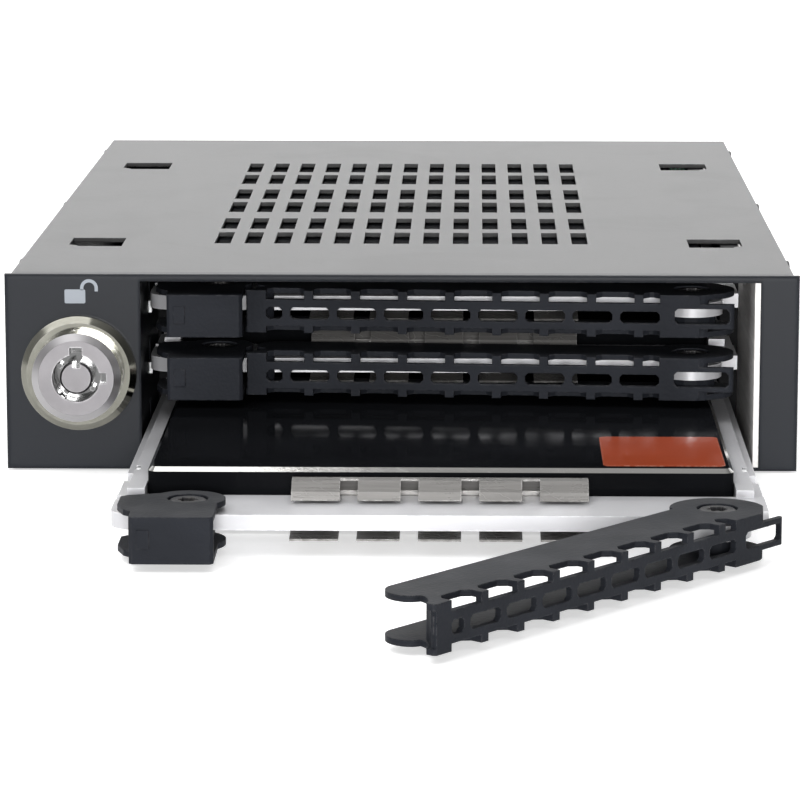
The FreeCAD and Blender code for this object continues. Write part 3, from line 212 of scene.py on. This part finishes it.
def make_handling():
    """Soft finger smudges and hairline scratches, as one mask for roughness."""
    tree, given, end = new_group("handling", [("Smudge", FLOAT, 60.0), ("Scratch", FLOAT, 240.0)], ["Mask"])
    place = object_place(tree)
    smudge = noise(tree, place, given["Smudge"], Detail=5.0, Distortion=1.2)
    hair = put(tree, "ShaderNodeTexWave", {"bands_direction": "DIAGONAL"}, Vector=place,
               Scale=given["Scratch"], Distortion=14.0, Detail=3.0, Detail_Scale=0.6).outputs["Fac"]
    line = ramp(tree, hair, 0.985, 1.0)
    soft = ramp(tree, smudge, 0.45, 0.7)
    feed(tree, end, "Mask", sums(tree, "ADD", soft, sums(tree, "MULTIPLY", line, 0.5), True))
    return tree


def make_dust():
    """A thin film of dust on surfaces that face up, thicker in patches."""
    tree, given, end = new_group("dust", [("Amount", FLOAT, 0.2)], ["Mask"])
    facing = ramp(tree, upward(tree), 0.75, 1.0)
    patch = ramp(tree, noise(tree, object_place(tree), 140.0, Detail=6.0), 0.3, 0.75)
    film = sums(tree, "MULTIPLY", patch, given["Amount"])
    feed(tree, end, "Mask", sums(tree, "MULTIPLY", facing, film, True))
    return tree


EFFECTS = {
    "edge_wear": make_edge_wear(),
    "powder_coat": make_powder_coat(),
    "moulded_grain": make_moulded_grain(),
    "drawn_lines": make_drawn_lines(),
    "handling": make_handling(),
    "dust": make_dust(),
}


def effect(tree, name, **inputs):
    """Place a shared effect in a material with its own values."""
    return put(tree, "ShaderNodeGroup", {"node_tree": EFFECTS[name]}, **inputs).outputs


def wear_mask(tree, width, gain, breakup):
    """The mask of rubbed edges."""
    return effect(tree, "edge_wear", Width=width, Gain=gain, Breakup=breakup)["Mask"]


def hand_mask(tree, smudge, scratch):
    """The mask of smudges and scratches."""
    return effect(tree, "handling", Smudge=smudge, Scratch=scratch)["Mask"]


# ---------------------------------------------------------------- materials
PAINT_DUST = rgb(0.42, 0.41, 0.4)
PLASTIC_DUST = grey(0.4)
BARE_METAL = rgb(0.95, 0.94, 0.92)


def new_material(name, **shader):
    """A material with one Principled BSDF; the keywords set its own sockets."""
    material = bpy.data.materials.new(name)
    material.use_nodes = True
    tree = material.node_tree
    bsdf = tree.nodes["Principled BSDF"]
    for key, value in shader.items():
        bsdf.inputs[key.replace("_", " ")].default_value = value
    return material, tree, bsdf


def bumped(tree, bsdf, height, distance, strength, eased=0.0):
    """Feed a height to the shader's normal, over edges eased by a radius."""
    bump = put(tree, "ShaderNodeBump", Height=height, Distance=distance, Strength=strength)
    if eased:
        feed(tree, bump, "Normal", put(tree, "ShaderNodeBevel", BEVEL_SAMPLES, Radius=eased).outputs[0])
    tree.links.new(bump.outputs[0], bsdf.inputs["Normal"])


def roughened(tree, bsdf, base, mask, share):
    """Feed the roughness: a base value with a share of a mask on top."""
    feed(tree, bsdf, "Roughness", sums(tree, "ADD", base, sums(tree, "MULTIPLY", mask, share)))


def painted(name, base, rubbed, rough, peel, dust_amount, eased=0.0002):
    """Baked paint with orange peel, rubbed edges and a little dust."""
    material, tree, bsdf = new_material(name, IOR=1.3)
    coat = effect(tree, "powder_coat", Scale=peel)
    wear = wear_mask(tree, 0.0005, 1.6, 700.0)
    marks = hand_mask(tree, 40.0, 160.0)
    dust = effect(tree, "dust", Amount=dust_amount)["Mask"]
    colour = mottled(tree, coat["Tone"], 0.3, 0.75, base, scaled(base, 1.15))
    colour = blend(tree, wear, colour, rubbed)
    feed(tree, bsdf, "Base Color", blend(tree, dust, colour, PAINT_DUST))
    roughened(tree, bsdf, spread(tree, marks, rough, rough + 0.012), dust, 0.2)
    bumped(tree, bsdf, coat["Height"], 0.00001, 0.5, eased)
    return material


def bright_sheet(name, base, stretch, rough, lines, metal=1.0):
    """Plated or rolled sheet with fine lines along one direction."""
    material, tree, bsdf = new_material(name, Metallic=metal)
    drawn = effect(tree, "drawn_lines", Stretch=stretch, Scale=lines)
    wear = wear_mask(tree, 0.0003, 1.2, 1200.0)
    marks = hand_mask(tree, 90.0, 300.0)
    colour = mottled(tree, drawn["Tone"], 0.35, 0.68, scaled(base, 0.72), base)
    feed(tree, bsdf, "Base Color", blend(tree, wear, colour, BARE_METAL))
    roughened(tree, bsdf, spread(tree, drawn["Tone"], rough - 0.06, rough + 0.08), marks, 0.08)
    bumped(tree, bsdf, drawn["Height"], 0.000006, 0.6)
    return material


def moulded(name, base, worn, rough, grain, relief):
    """Moulded plastic with an eroded grain and worn edges."""
    material, tree, bsdf = new_material(name, IOR=1.14)
    skin = effect(tree, "moulded_grain", Scale=grain)
    wear = wear_mask(tree, 0.00035, 1.8, 1500.0)
    marks = hand_mask(tree, 110.0, 420.0)
    dust = effect(tree, "dust", Amount=0.04)["Mask"]
    colour = mottled(tree, skin["Tone"], 0.3, 0.72, base, scaled(base, 1.4))
    colour = blend(tree, wear, colour, worn)
    feed(tree, bsdf, "Base Color", blend(tree, dust, colour, PLASTIC_DUST))
    feed(tree, bsdf, "Roughness", spread(tree, marks, rough, rough - 0.03))
    bumped(tree, bsdf, skin["Height"], relief, 0.7, 0.00025)
    return material


def blasted_silver():
    """Satin silver of the tray: fine blasted grain, brighter rubbed edges."""
    material, tree, bsdf = new_material("tray_metal_satin", Metallic=0.25)
    grain = effect(tree, "powder_coat", Scale=5200.0)
    lines = effect(tree, "drawn_lines", Stretch=(1.0, 0.06, 1.0), Scale=1500.0)
    wear = wear_mask(tree, 0.0004, 1.4, 900.0)
    marks = hand_mask(tree, 70.0, 220.0)
    colour = mottled(tree, grain["Tone"], 0.25, 0.8, rgb(0.465, 0.465, 0.48), rgb(0.56, 0.56, 0.58))
    colour = blend(tree, sums(tree, "MULTIPLY", lines["Tone"], 0.25), colour, rgb(0.47, 0.47, 0.485))
    feed(tree, bsdf, "Base Color", blend(tree, wear, colour, rgb(0.95, 0.95, 0.96)))
    roughened(tree, bsdf, spread(tree, grain["Tone"], 0.3, 0.36), marks, 0.08)
    bumped(tree, bsdf, grain["Height"], 0.000012, 0.5)
    return material


def drive_finish():
    """Gloss black drive case whose cut bevel is bright metal."""
    bevel_low, bevel_high = 0.35, 0.92
    material, tree, bsdf = new_material("drive_black_gloss", IOR=1.04)
    coat = effect(tree, "powder_coat", Scale=2400.0)
    marks = hand_mask(tree, 55.0, 200.0)
    lines = effect(tree, "drawn_lines", Stretch=(0.05, 1.0, 1.0), Scale=2600.0)
    up = upward(tree)
    cut = sums(tree, "MULTIPLY", sums(tree, "GREATER_THAN", up, bevel_low),
               sums(tree, "LESS_THAN", up, bevel_high))
    black = mottled(tree, coat["Tone"], 0.3, 0.75, rgb(0.004, 0.0043, 0.005), rgb(0.008, 0.0085, 0.01))
    silver = blend(tree, lines["Tone"], rgb(0.34, 0.34, 0.33), rgb(0.56, 0.55, 0.53))
    feed(tree, bsdf, "Base Color", blend(tree, cut, black, silver))
    feed(tree, bsdf, "Metallic", cut)
    feed(tree, bsdf, "Roughness", spread(tree, marks, 0.06, 0.13))
    bumped(tree, bsdf, coat["Height"], 0.000004, 0.35)
    return material


def polished_chrome():
    """Chrome of the lock: a satin front face brightened at its outer edge as a painted highlight, polished
    sides and painted shade in the keyway.
    """
    keyway_edge = (4.3 * MM, 4.1 * MM)
    front_face = (0.56 * MM, 0.52 * MM)
    highlight_rim = (4.75 * MM, 4.9 * MM)
    material, tree, bsdf = new_material("lock_chrome_polished", Metallic=1.0)
    marks = hand_mask(tree, 180.0, 620.0)
    wear = wear_mask(tree, 0.0004, 0.9, 800.0)
    rings = effect(tree, "drawn_lines", Stretch=(0.2, 1.0, 0.2), Scale=900.0)
    low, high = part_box("lock_housing")
    axis = (-(low[0] + high[0]) / 2, -low[1], -(low[2] + high[2]) / 2)
    part = put(tree, "ShaderNodeSeparateXYZ", Vector=vectors(tree, "ADD", object_place(tree), axis)).outputs
    across = put(tree, "ShaderNodeCombineXYZ", X=part["X"], Z=part["Z"]).outputs[0]
    away = vectors(tree, "LENGTH", across, output="Value")
    keyway_shade = ramp(tree, away, *keyway_edge)
    front = ramp(tree, part["Y"], *front_face)
    polished = mottled(tree, rings["Tone"], 0.35, 0.7, rgb(0.17, 0.168, 0.145), rgb(0.26, 0.256, 0.225))
    # inside the keyway the sides turn a darker grey: painted shade in the recess
    sides = blend(tree, keyway_shade, polished, grey(0.13))
    satin = mottled(tree, rings["Tone"], 0.35, 0.7, rgb(0.15, 0.145, 0.15), rgb(0.19, 0.183, 0.19))
    # beyond the rim radius the front face turns brighter: a painted highlight along its outer edge
    satin = mottled(tree, away, *highlight_rim, satin, rgb(0.34, 0.332, 0.34))
    colour = blend(tree, front, sides, satin)
    feed(tree, bsdf, "Base Color", blend(tree, wear, colour, rgb(0.8, 0.79, 0.8)))
    roughened(tree, bsdf, spread(tree, marks, 0.1, 0.2), front, 0.22)
    bumped(tree, bsdf, rings["Height"], 0.000003, 0.4)
    return material


def circuit_board():
    """Green lacquer over copper tracks, on glass-weave laminate."""
    material, tree, bsdf = new_material("board_green_lacquer", IOR=1.5, Coat_Weight=0.4, Coat_Roughness=0.15)
    place = object_place(tree)
    threads = [put(tree, "ShaderNodeTexWave", {"bands_direction": way}, Vector=place, Scale=700.0,
                   Distortion=0.4).outputs["Fac"] for way in ("X", "Z")]
    flat = put(tree, "ShaderNodeSeparateXYZ", Vector=place).outputs
    plane = put(tree, "ShaderNodeCombineXYZ", X=flat["Z"], Y=flat["X"]).outputs[0]
    tracks = put(tree, "ShaderNodeTexBrick", {"offset": 0.37}, Vector=plane, Scale=240.0,
                 Mortar_Size=0.035, Brick_Width=1.7, Row_Height=0.16).outputs["Fac"]
    marks = hand_mask(tree, 80.0, 260.0)
    green = blend(tree, sums(tree, "MULTIPLY", *threads), rgb(0.012, 0.075, 0.04), rgb(0.018, 0.11, 0.055))
    feed(tree, bsdf, "Base Color", blend(tree, tracks, green, rgb(0.035, 0.2, 0.1)))
    feed(tree, bsdf, "Roughness", spread(tree, marks, 0.3, 0.45))
    bumped(tree, bsdf, tracks, 0.00003, 0.6)
    return material


def blank_label():
    """A plain orange-red printed film, a little faded and creased."""
    material, tree, bsdf = new_material("label_red_film", IOR=1.15)
    coat = effect(tree, "powder_coat", Scale=900.0)
    marks = hand_mask(tree, 130.0, 340.0)
    wear = wear_mask(tree, 0.0004, 1.0, 1600.0)
    colour = mottled(tree, coat["Tone"], 0.3, 0.75, rgb(0.257, 0.046, 0.018), rgb(0.309, 0.056, 0.024))
    feed(tree, bsdf, "Base Color", blend(tree, wear, colour, rgb(0.62, 0.34, 0.26)))
    feed(tree, bsdf, "Roughness", spread(tree, marks, 0.1, 0.2))
    bumped(tree, bsdf, coat["Height"], 0.00001, 0.4)
    return material


def printed_ink():
    """Pale blue-grey ink of the lock sign, thin enough to show the paint's grain."""
    material, tree, bsdf = new_material("sign_ink_pale", IOR=1.45)
    coat = effect(tree, "powder_coat", Scale=1500.0)
    wear = wear_mask(tree, 0.00025, 1.0, 2600.0)
    colour = mottled(tree, coat["Tone"], 0.3, 0.75, rgb(0.25, 0.273, 0.305), rgb(0.29, 0.313, 0.345))
    feed(tree, bsdf, "Base Color", blend(tree, wear, colour, rgb(0.3, 0.34, 0.38)))
    feed(tree, bsdf, "Roughness", spread(tree, coat["Tone"], 0.5, 0.62))
    bumped(tree, bsdf, coat["Height"], 0.00001, 0.5)
    return material


def plated_contact():
    """Gold flash over nickel on the socket contacts."""
    material, tree, bsdf = new_material("contact_gold_flash", Metallic=1.0)
    drawn = effect(tree, "drawn_lines", Stretch=(1.0, 0.05, 1.0), Scale=4200.0)
    marks = hand_mask(tree, 260.0, 900.0)
    feed(tree, bsdf, "Base Color", blend(tree, drawn["Tone"], rgb(0.7, 0.46, 0.17), rgb(0.92, 0.68, 0.3)))
    feed(tree, bsdf, "Roughness", spread(tree, marks, 0.2, 0.34))
    bumped(tree, bsdf, drawn["Height"], 0.000002, 0.5)
    return material


# paint: colour, rubbed colour, roughness, scale of the peel, dust and the rounding of the edges
BLACK = painted("black_paint_semi_gloss", rgb(0.005, 0.0067, 0.0103), rgb(0.045, 0.045, 0.05),
                0.4, 1500.0, 0.04, 0.0007)
COVER = painted("cover_paint_semi_gloss", rgb(0.014, 0.014, 0.0145), grey(0.12), 0.36, 1300.0, 0.012)
# sheet: colour, stretch of the lines, roughness, scale of the lines and how metallic
NICKEL = bright_sheet("bright_nickel_sheet", rgb(0.92, 0.9, 0.88), (1.0, 0.05, 1.0), 0.42, 1600.0, 0.0)
STEEL = bright_sheet("spring_steel_rolled", rgb(0.25, 0.242, 0.233), (0.05, 1.0, 1.0), 0.26, 2000.0, 0.4)
ZINC = bright_sheet("zinc_plated_steel", rgb(0.55, 0.56, 0.56), (1.0, 1.0, 0.1), 0.36, 1300.0)
# plastic: colour, worn colour, roughness, scale of the grain and its height
LEVER = moulded("lever_black_plastic", rgb(0.0135, 0.0148, 0.0185), rgb(0.07, 0.07, 0.075),
                0.5, 2400.0, 0.00003)
GUIDE = moulded("guide_black_plastic", rgb(0.014, 0.014, 0.015), grey(0.05), 0.48, 2000.0, 0.00002)
SOCKET = moulded("socket_black_plastic", rgb(0.016, 0.016, 0.017), grey(0.06), 0.42, 3000.0, 0.000015)
OXIDE = painted("screw_black_oxide", rgb(0.018, 0.018, 0.02), rgb(0.22, 0.21, 0.2), 0.3, 3200.0, 0.05)
SILVER = blasted_silver()
DRIVE = drive_finish()
CHROME = polished_chrome()
BOARD = circuit_board()
LABEL = blank_label()
INK = printed_ink()
GOLD = plated_contact()

DATA_SOCKETS = ["data_socket_" + str(number) for number in (1, 2, 3)]
FINISHES = {
    "bezel": BLACK, "bottom_chassis": BLACK, "top_cover": COVER,
    # the left inner wall takes the black paint as painted shade: it is the same nickel sheet as the right
    # wall
    "left_inner_wall": BLACK, "right_inner_wall": NICKEL,
    "left_runner_guide": GUIDE, "right_runner_guide": GUIDE, "backplane_board": BOARD,
    "power_socket": SOCKET, "lock_housing": CHROME, "lock_core": CHROME, "lock_nut": ZINC,
    "lock_cam": ZINC, "lock_bar": ZINC, "lock_bracket": ZINC,
}
for node in DATA_SOCKETS:
    FINISHES[node] = SOCKET
for tray in TRAYS:
    FINISHES["drive_socket_" + tray] = SOCKET
    FINISHES["tray_frame_" + tray] = SILVER
    FINISHES["drive_" + tray] = DRIVE
    FINISHES["spring_clip_" + tray] = STEEL
    FINISHES["latch_block_" + tray] = LEVER
    FINISHES["lever_" + tray] = LEVER
for node, finish in FINISHES.items():
    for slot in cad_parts[node].material_slots:
        slot.material = finish


# ---------------------------------------------------------------- mesh helpers
def make_piece(name, mesh, finish, body):
    """Turn a bmesh into an object that rides on a body."""
    bmesh.ops.recalc_face_normals(mesh, faces=mesh.faces)
    data = bpy.data.meshes.new(name)
    mesh.to_mesh(data)
    mesh.free()
    data.materials.append(finish)
    piece = bpy.data.objects.new(name, data)
    bpy.context.collection.objects.link(piece)
    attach(piece, body)
    return piece


def soften(piece, width, segments=2):
    """Bevel a piece's sharp edges."""
    edge = piece.modifiers.new("soft_edges", "BEVEL")
    edge.width = width
    edge.segments = segments
    edge.limit_method = "ANGLE"
    edge.angle_limit = math.radians(35)


def add_block(mesh, low, high):
    """Add a box between two corners to a bmesh."""
    centre = (Vector(low) + Vector(high)) / 2
    size = Vector(high) - Vector(low)
    shape = Matrix.Translation(centre) @ Matrix.Diagonal((*size, 1.0))
    bmesh.ops.create_cube(mesh, size=1.0, matrix=shape)


def add_plate(mesh, outline, lift):
    """Add a closed outline, raised by the vector lift into a plate."""
    ring = [mesh.verts.new(point) for point in outline]
    face = mesh.faces.new(ring)
    grown = bmesh.ops.extrude_face_region(mesh, geom=[face])
    for item in grown["geom"]:
        if isinstance(item, bmesh.types.BMVert):
            item.co += Vector(lift)


def rounded_outline(x0, x1, y0, y1, radius, steps=5):
    """Points of a rectangle with round corners."""
    points = []
    for cx, cy, start in ((x1 - radius, y1 - radius, 0), (x0 + radius, y1 - radius, 90),
                          (x0 + radius, y0 + radius, 180), (x1 - radius, y0 + radius, 270)):
        for k in range(steps + 1):
            a = math.radians(start + 90 * k / steps)
            points.append((cx + radius * math.cos(a), cy + radius * math.sin(a)))
    return points


def node_islands(node):
    """The separate solids of a CAD node as (low, high) boxes."""
    mesh = bmesh.new()
    mesh.from_mesh(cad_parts[node].data)
    bmesh.ops.remove_doubles(mesh, verts=mesh.verts, dist=1e-6)
    left = set(mesh.verts)
    boxes = []
    while left:
        seed = left.pop()
        group = [seed]
        queue = [seed]
        while queue:
            for edge in queue.pop().link_edges:
                for vert in edge.verts:
                    if vert in left:
                        left.remove(vert)
                        group.append(vert)
                        queue.append(vert)
        low = Vector([min(v.co[a] for v in group) for a in range(3)])
        high = Vector([max(v.co[a] for v in group) for a in range(3)])
        boxes.append((low, high))
    mesh.free()
    return boxes


# ---------------------------------------------------------------- screws
SCREW_SIDES = 36
SCREW_HEAD = 0.0006
THREAD_PITCH = 0.0005
THREAD_ROOT = 0.86
LOBES = 6
LOBE_INNER = 0.7


def lobed(angle, outer):
    """Radius of a lobed drive recess at an angle."""
    inner = outer * LOBE_INNER
    return inner + (outer - inner) * (0.5 + 0.5 * math.cos(LOBES * angle))


def add_screw(mesh, place, way, head_r, shank_r, length, recess):
    """Add a screw with a lobed recess and a threaded shank; place is the top of its head."""
    rings = []

    def ring(radius, depth, lobes=False):
        """One row of points around the screw at a depth."""
        row = []
        for k in range(SCREW_SIDES):
            a = 2 * math.pi * k / SCREW_SIDES
            r = lobed(a, radius) if lobes else radius
            row.append(mesh.verts.new((r * math.cos(a), r * math.sin(a), -depth)))
        rings.append(row)

    ring(recess, SCREW_HEAD * 0.8, True)
    ring(recess, 0.0, True)
    ring(head_r * 0.9, 0.0)
    ring(head_r, SCREW_HEAD * 0.25)
    ring(head_r, SCREW_HEAD)
    ring(shank_r, SCREW_HEAD)
    depth = SCREW_HEAD + THREAD_PITCH * 0.3
    while depth < length - THREAD_PITCH:
        ring(shank_r * THREAD_ROOT, depth)
        ring(shank_r, depth + THREAD_PITCH * 0.45)
        depth += THREAD_PITCH
    ring(shank_r * 0.7, length)
    for upper, lower in zip(rings[:-1], rings[1:]):
        for k in range(SCREW_SIDES):
            j = (k + 1) % SCREW_SIDES
            mesh.faces.new((upper[k], upper[j], lower[j], lower[k]))
    mesh.faces.new(rings[0])
    mesh.faces.new(rings[-1])
    turn = Vector((0, 0, -1)).rotation_difference(Vector(way)).to_matrix().to_4x4()
    verts = [v for row in rings for v in row]
    bmesh.ops.transform(mesh, matrix=Matrix.Translation(Vector(place)) @ turn, verts=verts)


def detailed_screws(node, body, way_of, finish, recess, shank=0.0012):
    """Screws with recesses and threads in place of a CAD node's plain ones."""
    mesh = bmesh.new()
    for low, high in node_islands(node):
        way = Vector(way_of(low))
        axis = max(range(3), key=lambda a: abs(way[a]))
        place = (low + high) / 2
        place[axis] = low[axis] if way[axis] > 0 else high[axis]
        size = high - low
        head_r = max(size[a] for a in range(3) if a != axis) / 2
        add_screw(mesh, place, way, head_r, shank, size[axis], recess)
    piece = make_piece(node + "_detailed", mesh, finish, body)
    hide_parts(node)


def inward(middle):
    """The way of screws that go in from both sides towards a middle plane."""
    return lambda low: (1 if low.x < middle else -1, 0, 0)


def backward(low):
    """The way of screws that go in from the front."""
    return (0, 1, 0)


def downward(low):
    """The way of screws that go in from above."""
    return (0, 0, -1)


detailed_screws("cover_screws", "chassis", inward(0.0), OXIDE, 0.0011)
detailed_screws("board_screws", "chassis", backward, ZINC, 0.0011)
for tray in TRAYS:
    body = "tray_" + tray
    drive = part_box("drive_" + tray)
    middle = (drive[0][0] + drive[1][0]) / 2
    detailed_screws("drive_screws_" + tray, body, inward(middle), ZINC, 0.0012, 0.00145)
    detailed_screws("latch_screw_" + tray, body, downward, OXIDE, 0.0013)
    detailed_screws("lever_screw_" + tray, body, downward, OXIDE, 0.0013)


# ---------------------------------------------------------------- blank label on the lower drive
def drive_label():
    """The blank film near the right front corner of the lower drive's top."""
    width, length, corner = 14.6 * MM, 17.9 * MM, 0.8 * MM
    from_side, from_front = 0.9 * MM, 1.6 * MM
    lift, film = 0.01 * MM, 0.09 * MM
    low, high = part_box("drive_lower")
    x1 = high[0] - from_side
    y0 = low[1] + from_front
    mesh = bmesh.new()
    outline = rounded_outline(x1 - width, x1, y0, y0 + length, corner)
    add_plate(mesh, [(x, y, high[2] + lift) for x, y in outline], (0, 0, film))
    soften(make_piece("blank_label", mesh, LABEL, "tray_lower"), 0.03 * MM)


drive_label()


# ---------------------------------------------------------------- open padlock sign
def padlock_sign():
    """A small open padlock printed on the bezel above the lock."""
    film = (0, -0.03 * MM, 0)
    band = 0.42 * MM
    arc_steps = 12
    low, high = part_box("bezel")
    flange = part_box("lock_housing")
    cx = (flange[0][0] + flange[1][0]) / 2 - 0.2 * MM
    y = low[1] - 0.01 * MM
    z0 = high[2] - 3.76 * MM
    mesh = bmesh.new()
    body = rounded_outline(cx - 1.57 * MM, cx + 1.09 * MM, z0, z0 + 1.8 * MM, 0.2 * MM)
    add_plate(mesh, [(x, y, z) for x, z in body], film)
    left = cx + 0.65 * MM
    right = cx + 2.5 * MM
    mid = (left + right) / 2
    reach = (right - left) / 2
    top = z0 + 2.0 * MM
    sides = []
    for half in (band / 2, -band / 2):
        line = [(left - half, z0 + 1.7 * MM)]
        for k in range(arc_steps + 1):
            a = math.pi * (1 - k / arc_steps)
            line.append((mid + (reach + half) * math.cos(a), top + (reach + half) * math.sin(a)))
        line.append((right + half, z0 + 1.55 * MM))
        sides.append(line)
    outer, inner = sides
    for k in range(len(outer) - 1):
        quad = [outer[k], outer[k + 1], inner[k + 1], inner[k]]
        add_plate(mesh, [(x, y, z) for x, z in quad], film)
    bmesh.ops.remove_doubles(mesh, verts=mesh.verts, dist=1e-7)
    make_piece("open_padlock_sign", mesh, INK, "chassis")


padlock_sign()


# ---------------------------------------------------------------- backplane details
def socket_contacts(node, count, share, rear=True):
    """Two rows of gold contacts in a socket's mouth, at the rear or, for a drive, at the front."""
    half_width, half_thick = 0.22 * MM, 0.09 * MM
    low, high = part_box(node)
    if rear:
        row_gap, y0, y1 = 0.95 * MM, low[1] + 2.4 * MM, high[1] - 1.2 * MM
    else:
        row_gap, y0, y1 = 0.55 * MM, low[1] + 0.5 * MM, low[1] + 4.0 * MM
    span = (high[0] - low[0]) * share
    middle = (low[0] + high[0]) / 2
    mid_z = (low[2] + high[2]) / 2
    mesh = bmesh.new()
    for z in (mid_z - row_gap, mid_z + row_gap):
        for k in range(count):
            x = middle + (k / (count - 1) - 0.5) * span
            add_block(mesh, (x - half_width, y0, z - half_thick), (x + half_width, y1, z + half_thick))
    soften(make_piece(node + "_contacts", mesh, GOLD, "chassis"), 0.04 * MM, 1)


for tray in TRAYS:
    socket_contacts("drive_socket_" + tray, 22, 0.62, rear=False)
for node in DATA_SOCKETS:
    socket_contacts(node, 7, 0.5)
socket_contacts("power_socket", 15, 0.66)


def board_parts():
    """Small chips and capacitors soldered on the rear of the board."""
    chip_x, chip_z, chip_under, chip_top = 2.5 * MM, 1.9 * MM, 0.15 * MM, 1.5 * MM
    leg_x, leg_thick, leg_pitch = 0.2 * MM, 0.4 * MM, 1.27 * MM
    can_r, can_length = 2.0 * MM, 4.0 * MM
    low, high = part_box("backplane_board")
    y = high[1]
    mid_x = (low[0] + high[0]) / 2
    chips = bmesh.new()
    legs = bmesh.new()
    cans = bmesh.new()
    for sign in (-1, 1):
        x = mid_x + sign * 26 * MM
        for z in (low[2] + 7.5 * MM, low[2] + 15.5 * MM):
            add_block(chips, (x - chip_x, y + chip_under, z - chip_z), (x + chip_x, y + chip_top, z + chip_z))
            for k in range(4):
                lx = x + (k - 1.5) * leg_pitch
                for up in (-1, 1):
                    z0, z1 = sorted((z + up * 1.8 * MM, z + up * 3.0 * MM))
                    add_block(legs, (lx - leg_x, y, z0), (lx + leg_x, y + leg_thick, z1))
        middle = (mid_x + sign * 32 * MM, y + can_length / 2, low[2] + 12 * MM)
        turn = Matrix.Translation(middle) @ Matrix.Rotation(math.pi / 2, 4, "X")
        bmesh.ops.create_cone(cans, cap_ends=True, segments=32, radius1=can_r, radius2=can_r,
                              depth=can_length, matrix=turn)
    soften(make_piece("board_chips", chips, SOCKET, "chassis"), 0.2 * MM)
    soften(make_piece("board_chip_legs", legs, ZINC, "chassis"), 0.06 * MM, 1)
    soften(make_piece("board_capacitors", cans, ZINC, "chassis"), 0.3 * MM, 3)


board_parts()


# ---------------------------------------------------------------- stage, light and camera
def pale_sweep():
    """A pale floor that curves up behind the cage; lengths in metres."""
    half_width, drop = 2.5, 0.0002
    front, bend, radius, wall_top = -1.6, 0.6, 0.5, 2.2
    steps = 12
    material, tree, bsdf = new_material("pale_paper", Roughness=0.9, Emission_Strength=0.5)
    bsdf.inputs["Emission Color"].default_value = grey(1.0)
    grain = noise(tree, object_place(tree), 400.0, Detail=3.0)
    feed(tree, bsdf, "Base Color", blend(tree, grain, grey(0.82), grey(0.85)))
    mesh = bmesh.new()
    rows = [(front, 0.0), (bend, 0.0)]
    for k in range(1, steps + 1):
        a = math.radians(90 * k / steps)
        rows.append((bend + radius * math.sin(a), radius - radius * math.cos(a)))
    rows.append((bend + radius, wall_top))
    lines = []
    for y, z in rows:
        lines.append([mesh.verts.new((x, y, z - drop)) for x in (-half_width, half_width)])
    for a, b in zip(lines[:-1], lines[1:]):
        mesh.faces.new((a[0], a[1], b[1], b[0]))
    data = bpy.data.meshes.new("pale_sweep")
    mesh.to_mesh(data)
    mesh.free()
    for face in data.polygons:
        face.use_smooth = True
    data.materials.append(material)
    sweep = bpy.data.objects.new("pale_sweep", data)
    bpy.context.collection.objects.link(sweep)


def soft_light(name, place, aim, size, power):
    """A rectangular area light at a place, turned to an aim; its power is in watts."""
    lamp = bpy.data.lights.new(name, "AREA")
    lamp.shape = "RECTANGLE"
    lamp.size, lamp.size_y = size
    lamp.energy = power
    holder = bpy.data.objects.new(name, lamp)
    holder.location = place
    holder.rotation_euler = (Vector(aim) - Vector(place)).to_track_quat("-Z", "Y").to_euler()
    bpy.context.collection.objects.link(holder)


def set_camera(place, yaw, pitch, lens):
    """The viewing angle: a long lens, a little above and right of the middle; angles in radians."""
    way = Vector((math.sin(yaw) * math.cos(pitch), math.cos(yaw) * math.cos(pitch), -math.sin(pitch)))
    data = bpy.data.cameras.new("camera")
    data.sensor_width = 36.0
    data.lens = lens
    data.clip_start = 0.01
    camera = bpy.data.objects.new("camera", data)
    camera.location = place
    camera.rotation_euler = way.to_track_quat("-Z", "Y").to_euler()
    bpy.context.collection.objects.link(camera)
    bpy.context.scene.camera = camera


def set_studio():
    """White light from all around, weaker from the front and from the right."""
    world = bpy.data.worlds.new("studio")
    world.use_nodes = True
    tree = world.node_tree
    sky = tree.nodes["Background"]
    sky.inputs["Color"].default_value = grey(1.0)
    around = put(tree, "ShaderNodeTexCoord").outputs["Generated"]
    heading = put(tree, "ShaderNodeSeparateXYZ", Vector=around).outputs
    depth = spread(tree, heading["Y"], 0.45, 0.85, -0.8, 0.9)
    side = spread(tree, heading["X"], 1.0, 0.25, 0.25, 0.8)
    feed(tree, sky, "Strength", sums(tree, "MULTIPLY", depth, side))
    bpy.context.scene.world = world
    bpy.context.scene.view_settings.view_transform = "Standard"


pale_sweep()
soft_light("key_above", (-0.35, -0.5, 0.9), (0, 0, 0), (0.9, 0.7), 5.0)
soft_light("front_fill", (0.04, -1.3, 0.17), (0, -0.03, 0.01), (0.36, 0.2), 10.5)
soft_light("rear_wash", (0.0, 0.7, 0.95), (0, 1.0, 0.1), (1.4, 0.5), 7.6)
set_camera(Vector((9.25, -573.8, 101.13)) * MM, yaw=-0.0192, pitch=0.1853, lens=175.0)
set_studio()
